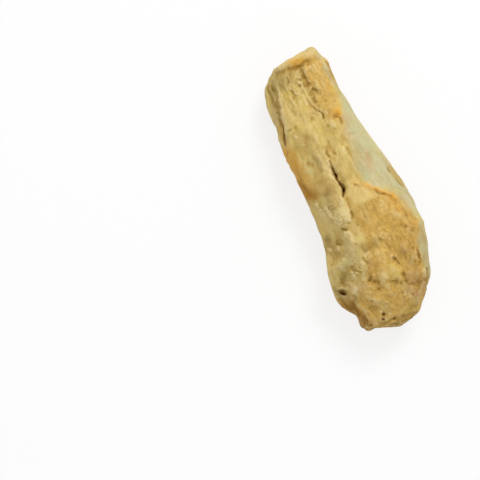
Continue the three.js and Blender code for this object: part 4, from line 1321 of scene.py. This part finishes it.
def make_root():
    block = Block(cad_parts[ROOT].data)
    shape_body(block)
    block.settle()
    wrap = Wrap(block)
    carve(block, wrap)
    points, quads = block.polygons()
    mesh = bpy.data.meshes.new("peeled_orris_root")
    mesh.from_pydata((points * MM).tolist(), [], quads.tolist())
    largest_piece(mesh)
    root = bpy.data.objects.new("peeled_orris_root", mesh)
    bpy.context.scene.collection.objects.link(root)
    thinned(root)
    root.data.polygons.foreach_set("use_smooth", [True] * len(root.data.polygons))
    colour_attributes(root.data, block, wrap)
    return root


# ------------------------------------------------------------------------------------ materials


class Share:
    """A number that varies over a surface: a node's output, with arithmetic that adds Math nodes."""

    def __init__(self, finish, socket):
        self.finish = finish
        self.socket = socket

    def math(self, operation, *values, clamp=False):
        inputs = dict(enumerate(values))
        return self.finish.value("ShaderNodeMath", {"operation": operation, "use_clamp": clamp}, inputs)

    def __add__(self, other):
        return self.math("ADD", self, other)

    def __sub__(self, other):
        return self.math("SUBTRACT", self, other)

    def __rsub__(self, other):
        return self.math("SUBTRACT", other, self)

    def __mul__(self, other):
        return self.math("MULTIPLY", self, other)

    __radd__ = __add__
    __rmul__ = __mul__

    def clamped(self):
        return self.math("ADD", self, 0.0, clamp=True)

    def ramp(self, low, high):
        """0 up to low, 1 from high on, and a smooth rise between."""
        inputs = {"Value": self, "From Min": low, "From Max": high}
        return self.finish.value("ShaderNodeMapRange", {"interpolation_type": "SMOOTHSTEP"}, inputs, "Result")


class Finish:
    """The nodes of a material or of the world, and the one way that they are made."""

    def __init__(self, owner):
        self.owner = owner
        owner.use_nodes = True
        self.tree = owner.node_tree
        self.tree.nodes.clear()

    def node(self, kind, settings=None, inputs=None):
        node = self.tree.nodes.new(kind)
        for name, setting in (settings or {}).items():
            setattr(node, name, setting)
        for name, value in (inputs or {}).items():
            socket = node.inputs[name]
            if isinstance(value, Share):
                value = value.socket
            if isinstance(value, bpy.types.NodeSocket):
                self.tree.links.new(value, socket)
            else:
                socket.default_value = value
        return node

    def value(self, kind, settings=None, inputs=None, output=0):
        return Share(self, self.node(kind, settings, inputs).outputs[output])

    def coat(self, name):
        return self.value("ShaderNodeAttribute", {"attribute_name": name}, output="Fac")

    def noise(self, stretch, detail, roughness=0.55, distortion=0.0):
        """Noise from about 0 to 1, whose features are as large as the stretch, in mm along each axis."""
        where = self.node("ShaderNodeTexCoord").outputs["Object"]
        scale = tuple(1 / (MM * s) for s in stretch)
        place = self.node("ShaderNodeVectorMath", {"operation": "MULTIPLY"}, {0: where, 1: scale}).outputs[0]
        inputs = {"Vector": place, "Scale": 1.0, "Detail": detail, "Roughness": roughness}
        return self.value("ShaderNodeTexNoise", None, inputs | {"Distortion": distortion}, "Fac")

    def blend(self, share, first, second, mode="MIX"):
        settings = {"data_type": "RGBA", "blend_type": mode}
        return self.node("ShaderNodeMix", settings, {"Factor": share, 6: first, 7: second}).outputs[2]

    def output(self, shader, kind="ShaderNodeOutputMaterial"):
        self.node(kind, None, {"Surface": shader})
        return self.owner


def linear(*rgb):
    """A colour as it is seen on a screen, 0 to 255, turned into the renderer's own numbers."""
    channels = (c / 255 for c in rgb)
    return (*(c / 12.92 if c <= 0.04045 else ((c + 0.055) / 1.055) ** 2.4 for c in channels), 1.0)


STRAW = linear(222, 195, 120)
SHADED_STRAW = linear(200, 169, 94)
CREAM = linear(234, 203, 128)
# a chalky pale, which is also painted on crests and ridges as painted highlights
CHALK_AND_HIGHLIGHT = linear(236, 214, 156)
BARE = linear(206, 195, 150)
BARE_SHADE = linear(190, 177, 128)
GOLD = linear(220, 173, 82)
DEEP_GOLD = linear(192, 148, 68)
AMBER = linear(234, 170, 58)
RUST = linear(152, 98, 18)
ASH = linear(196, 170, 112)
ROSE = linear(208, 168, 116)
LEMON = linear(218, 190, 84)
OLIVE = linear(158, 134, 68)
MINT = linear(196, 194, 142)
UMBER = linear(138, 103, 28)
BARK = linear(108, 70, 8)
# painted shade for the deepest recesses
CAVITY_SHADE = linear(56, 34, 16)


def root_finish():
    """Matt, mealy root: streaky straw, white where bare, gold where skin is left, and brown in cracks, with
    painted shade in recesses and hollows and painted highlights on crests.
    """
    finish = Finish(bpy.data.materials.new("dried_orris_root"))
    patches = finish.noise((6.0, 3.5, 3.5), 3.0)
    tints = finish.noise((3.6, 2.2, 2.2), 3.0, 0.6, 0.6)
    streaks = finish.noise((5.0, 0.7, 0.7), 3.0, 0.6, 0.4)
    mottle = finish.noise((1.5, 1.1, 1.1), 4.0, 0.65)
    specks = finish.noise((0.42, 0.34, 0.34), 2.0, 0.6)

    def lay(colour, coat, tone, strength, uneven):
        """A coat of one tone over the colour, thinner where the mottling is low."""
        share = finish.coat(coat) * (strength - 0.5 * uneven + uneven * mottle)
        return finish.blend(share.clamped(), colour, tone)

    colour = finish.blend(patches.ramp(0.36, 0.66), STRAW, SHADED_STRAW)
    colour = finish.blend(tints.ramp(0.56, 0.72) * 0.35, colour, OLIVE)
    golden = finish.blend(mottle.ramp(0.36, 0.64), DEEP_GOLD, GOLD)
    colour = lay(colour, "gold", golden, 0.85, 0.5)
    bare = finish.blend(patches.ramp(0.4, 0.7), BARE, BARE_SHADE)
    colour = lay(colour, "bare", bare, 1.0, 0.2)
    colour = finish.blend(tints.ramp(0.44, 0.3) * 0.3, colour, LEMON)
    for coat, tone, strength, uneven in (
        ("cream", CREAM, 0.9, 0.3),
        ("ash", ASH, 0.8, 0.3),
        ("mint", MINT, 0.7, 0.4),
        ("lemon", LEMON, 0.75, 0.4),
        # olive: a greenish-brown tone, which is also painted shade in the fold's shaded band and a hollow
        ("olive", OLIVE, 0.8, 0.5),
        ("rose", ROSE, 0.65, 0.5),
        # the chalky pale coat, which on ridges and edges is a painted highlight
        ("chalk", CHALK_AND_HIGHLIGHT, 0.75, 0.8),
    ):
        colour = lay(colour, coat, tone, strength, uneven)

    # painted highlights on crests and painted shade in hollows, by how far each vertex stands over its
    # surroundings
    for name, crest, hollow in (("fine_highlight_and_shade", 0.35, 0.4), ("raised", 0.25, 0.35)):
        height = finish.coat(name)
        colour = finish.blend(height.ramp(0.55, 1.0) * crest, colour, CHALK_AND_HIGHLIGHT)
        colour = finish.blend(height.ramp(0.45, 0.0) * hollow, colour, DEEP_GOLD)
    colour = lay(colour, "amber", AMBER, 0.75, 0.7)
    colour = lay(colour, "rust", RUST, 0.75, 0.9)
    # umber: brown marks, which are also painted shade under the front fold, past the tip, in hollows and in
    # cracks
    colour = lay(colour, "umber", UMBER, 0.85, 0.2)
    colour = lay(colour, "bark", BARK, 0.9, 0.2)
    # painted shade deep in cracks and hollows: the deeper under the smooth form, the darker
    colour = finish.blend(finish.coat("sunk").ramp(0.3, 0.8) * 0.85, colour, CAVITY_SHADE)

    light = (streaks - 0.5) * (0.55 - 0.4 * finish.coat("smooth"))
    light = light + (mottle - 0.5) * 0.5 + (specks - 0.5) * 0.55 + 0.5
    shade = finish.node("ShaderNodeCombineColor", None, {0: light, 1: light, 2: light}).outputs[0]
    colour = finish.blend(0.75, colour, shade, "SOFT_LIGHT")

    height = specks * 0.5 + streaks * 0.4 + finish.noise((0.9, 0.5, 0.5), 3.0) * 0.8
    bump = finish.node("ShaderNodeBump", None, {"Strength": 0.7, "Distance": 0.16 * MM, "Height": height})
    roughness = 0.72 + 0.2 * mottle
    shader = finish.node(
        "ShaderNodeBsdfPrincipled",
        None,
        {"Base Color": colour, "Roughness": roughness, "Normal": bump.outputs[0], "Specular IOR Level": 0.25},
    )
    return finish.output(shader.outputs[0])


def floor_finish():
    """White paper. It keeps the root's soft shadow, and is lifted to plain white where the camera sees it."""
    finish = Finish(bpy.data.materials.new("white_paper"))
    fibres = finish.noise((2.0, 2.0, 2.0), 2.0)
    paper = finish.blend(fibres, linear(246, 246, 246), linear(250, 250, 250))
    matt = finish.node(
        "ShaderNodeBsdfPrincipled", None, {"Base Color": paper, "Roughness": 1, "Specular IOR Level": 0},
    )
    seen = finish.value("ShaderNodeLightPath", output="Is Camera Ray")
    white = finish.node("ShaderNodeEmission", None, {"Color": (1, 1, 1, 1), "Strength": PAPER_WHITE})
    both = finish.node(
        "ShaderNodeMixShader", None, {0: seen * PAPER_LIFT, 1: matt.outputs[0], 2: white.outputs[0]},
    )
    return finish.output(both.outputs[0])


# ------------------------------------------------------------------------------------ the studio


def make_floor():
    mesh = bpy.data.meshes.new("floor")
    corners = [(x * FLOOR_HALF, y * FLOOR_HALF, 0) for x, y in ((-1, -1), (1, -1), (1, 1), (-1, 1))]
    mesh.from_pydata(corners, [], [(0, 1, 2, 3)])
    floor = bpy.data.objects.new("floor", mesh)
    floor.data.materials.append(floor_finish())
    bpy.context.scene.collection.objects.link(floor)


def add_softbox(name, direction, distance, size, strength):
    """A square area light that looks at the root from a direction."""
    lamp = bpy.data.lights.new(name, "AREA")
    lamp.shape = "SQUARE"
    lamp.size = size
    lamp.energy = strength
    light = bpy.data.objects.new(name, lamp)
    towards = Vector(direction).normalized()
    light.location = towards * distance
    light.rotation_euler = towards.to_track_quat("Z", "Y").to_euler()
    bpy.context.scene.collection.objects.link(light)


def light_studio():
    """An even sky, plain white where the camera looks straight at it, and one soft lamp."""
    sky = Finish(bpy.data.worlds.new("studio"))
    seen = sky.value("ShaderNodeLightPath", output="Is Camera Ray")
    light, white = (
        sky.node("ShaderNodeBackground", None, {"Color": (1, 1, 1, 1), "Strength": strength}).outputs[0]
        for strength in (SKY, 1)
    )
    both = sky.node("ShaderNodeMixShader", None, {0: seen, 1: light, 2: white})
    bpy.context.scene.world = sky.output(both.outputs[0], "ShaderNodeOutputWorld")
    add_softbox("key", KEY_FROM, KEY_DISTANCE, KEY_SIZE, KEY)


def place_camera():
    lens = bpy.data.cameras.new("camera")
    lens.lens = LENS
    lens.sensor_width = SENSOR
    lens.clip_start = 0.01
    camera = bpy.data.objects.new("camera", lens)
    x, y = FRAME_CENTRE
    camera.location = (x * MM, y * MM, (MIDDLE_HEIGHT + CAMERA_HEIGHT) * MM)
    camera.rotation_euler = (0, 0, CAMERA_ROLL)
    bpy.context.scene.collection.objects.link(camera)
    bpy.context.scene.camera = camera


# ------------------------------------------------------------------------------------ the scene

place_camera()
light_studio()
make_floor()

root = make_root()
root.data.materials.append(root_finish())
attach(root, "root")
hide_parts(ROOT)

bpy.context.scene.view_settings.view_transform = "Standard"
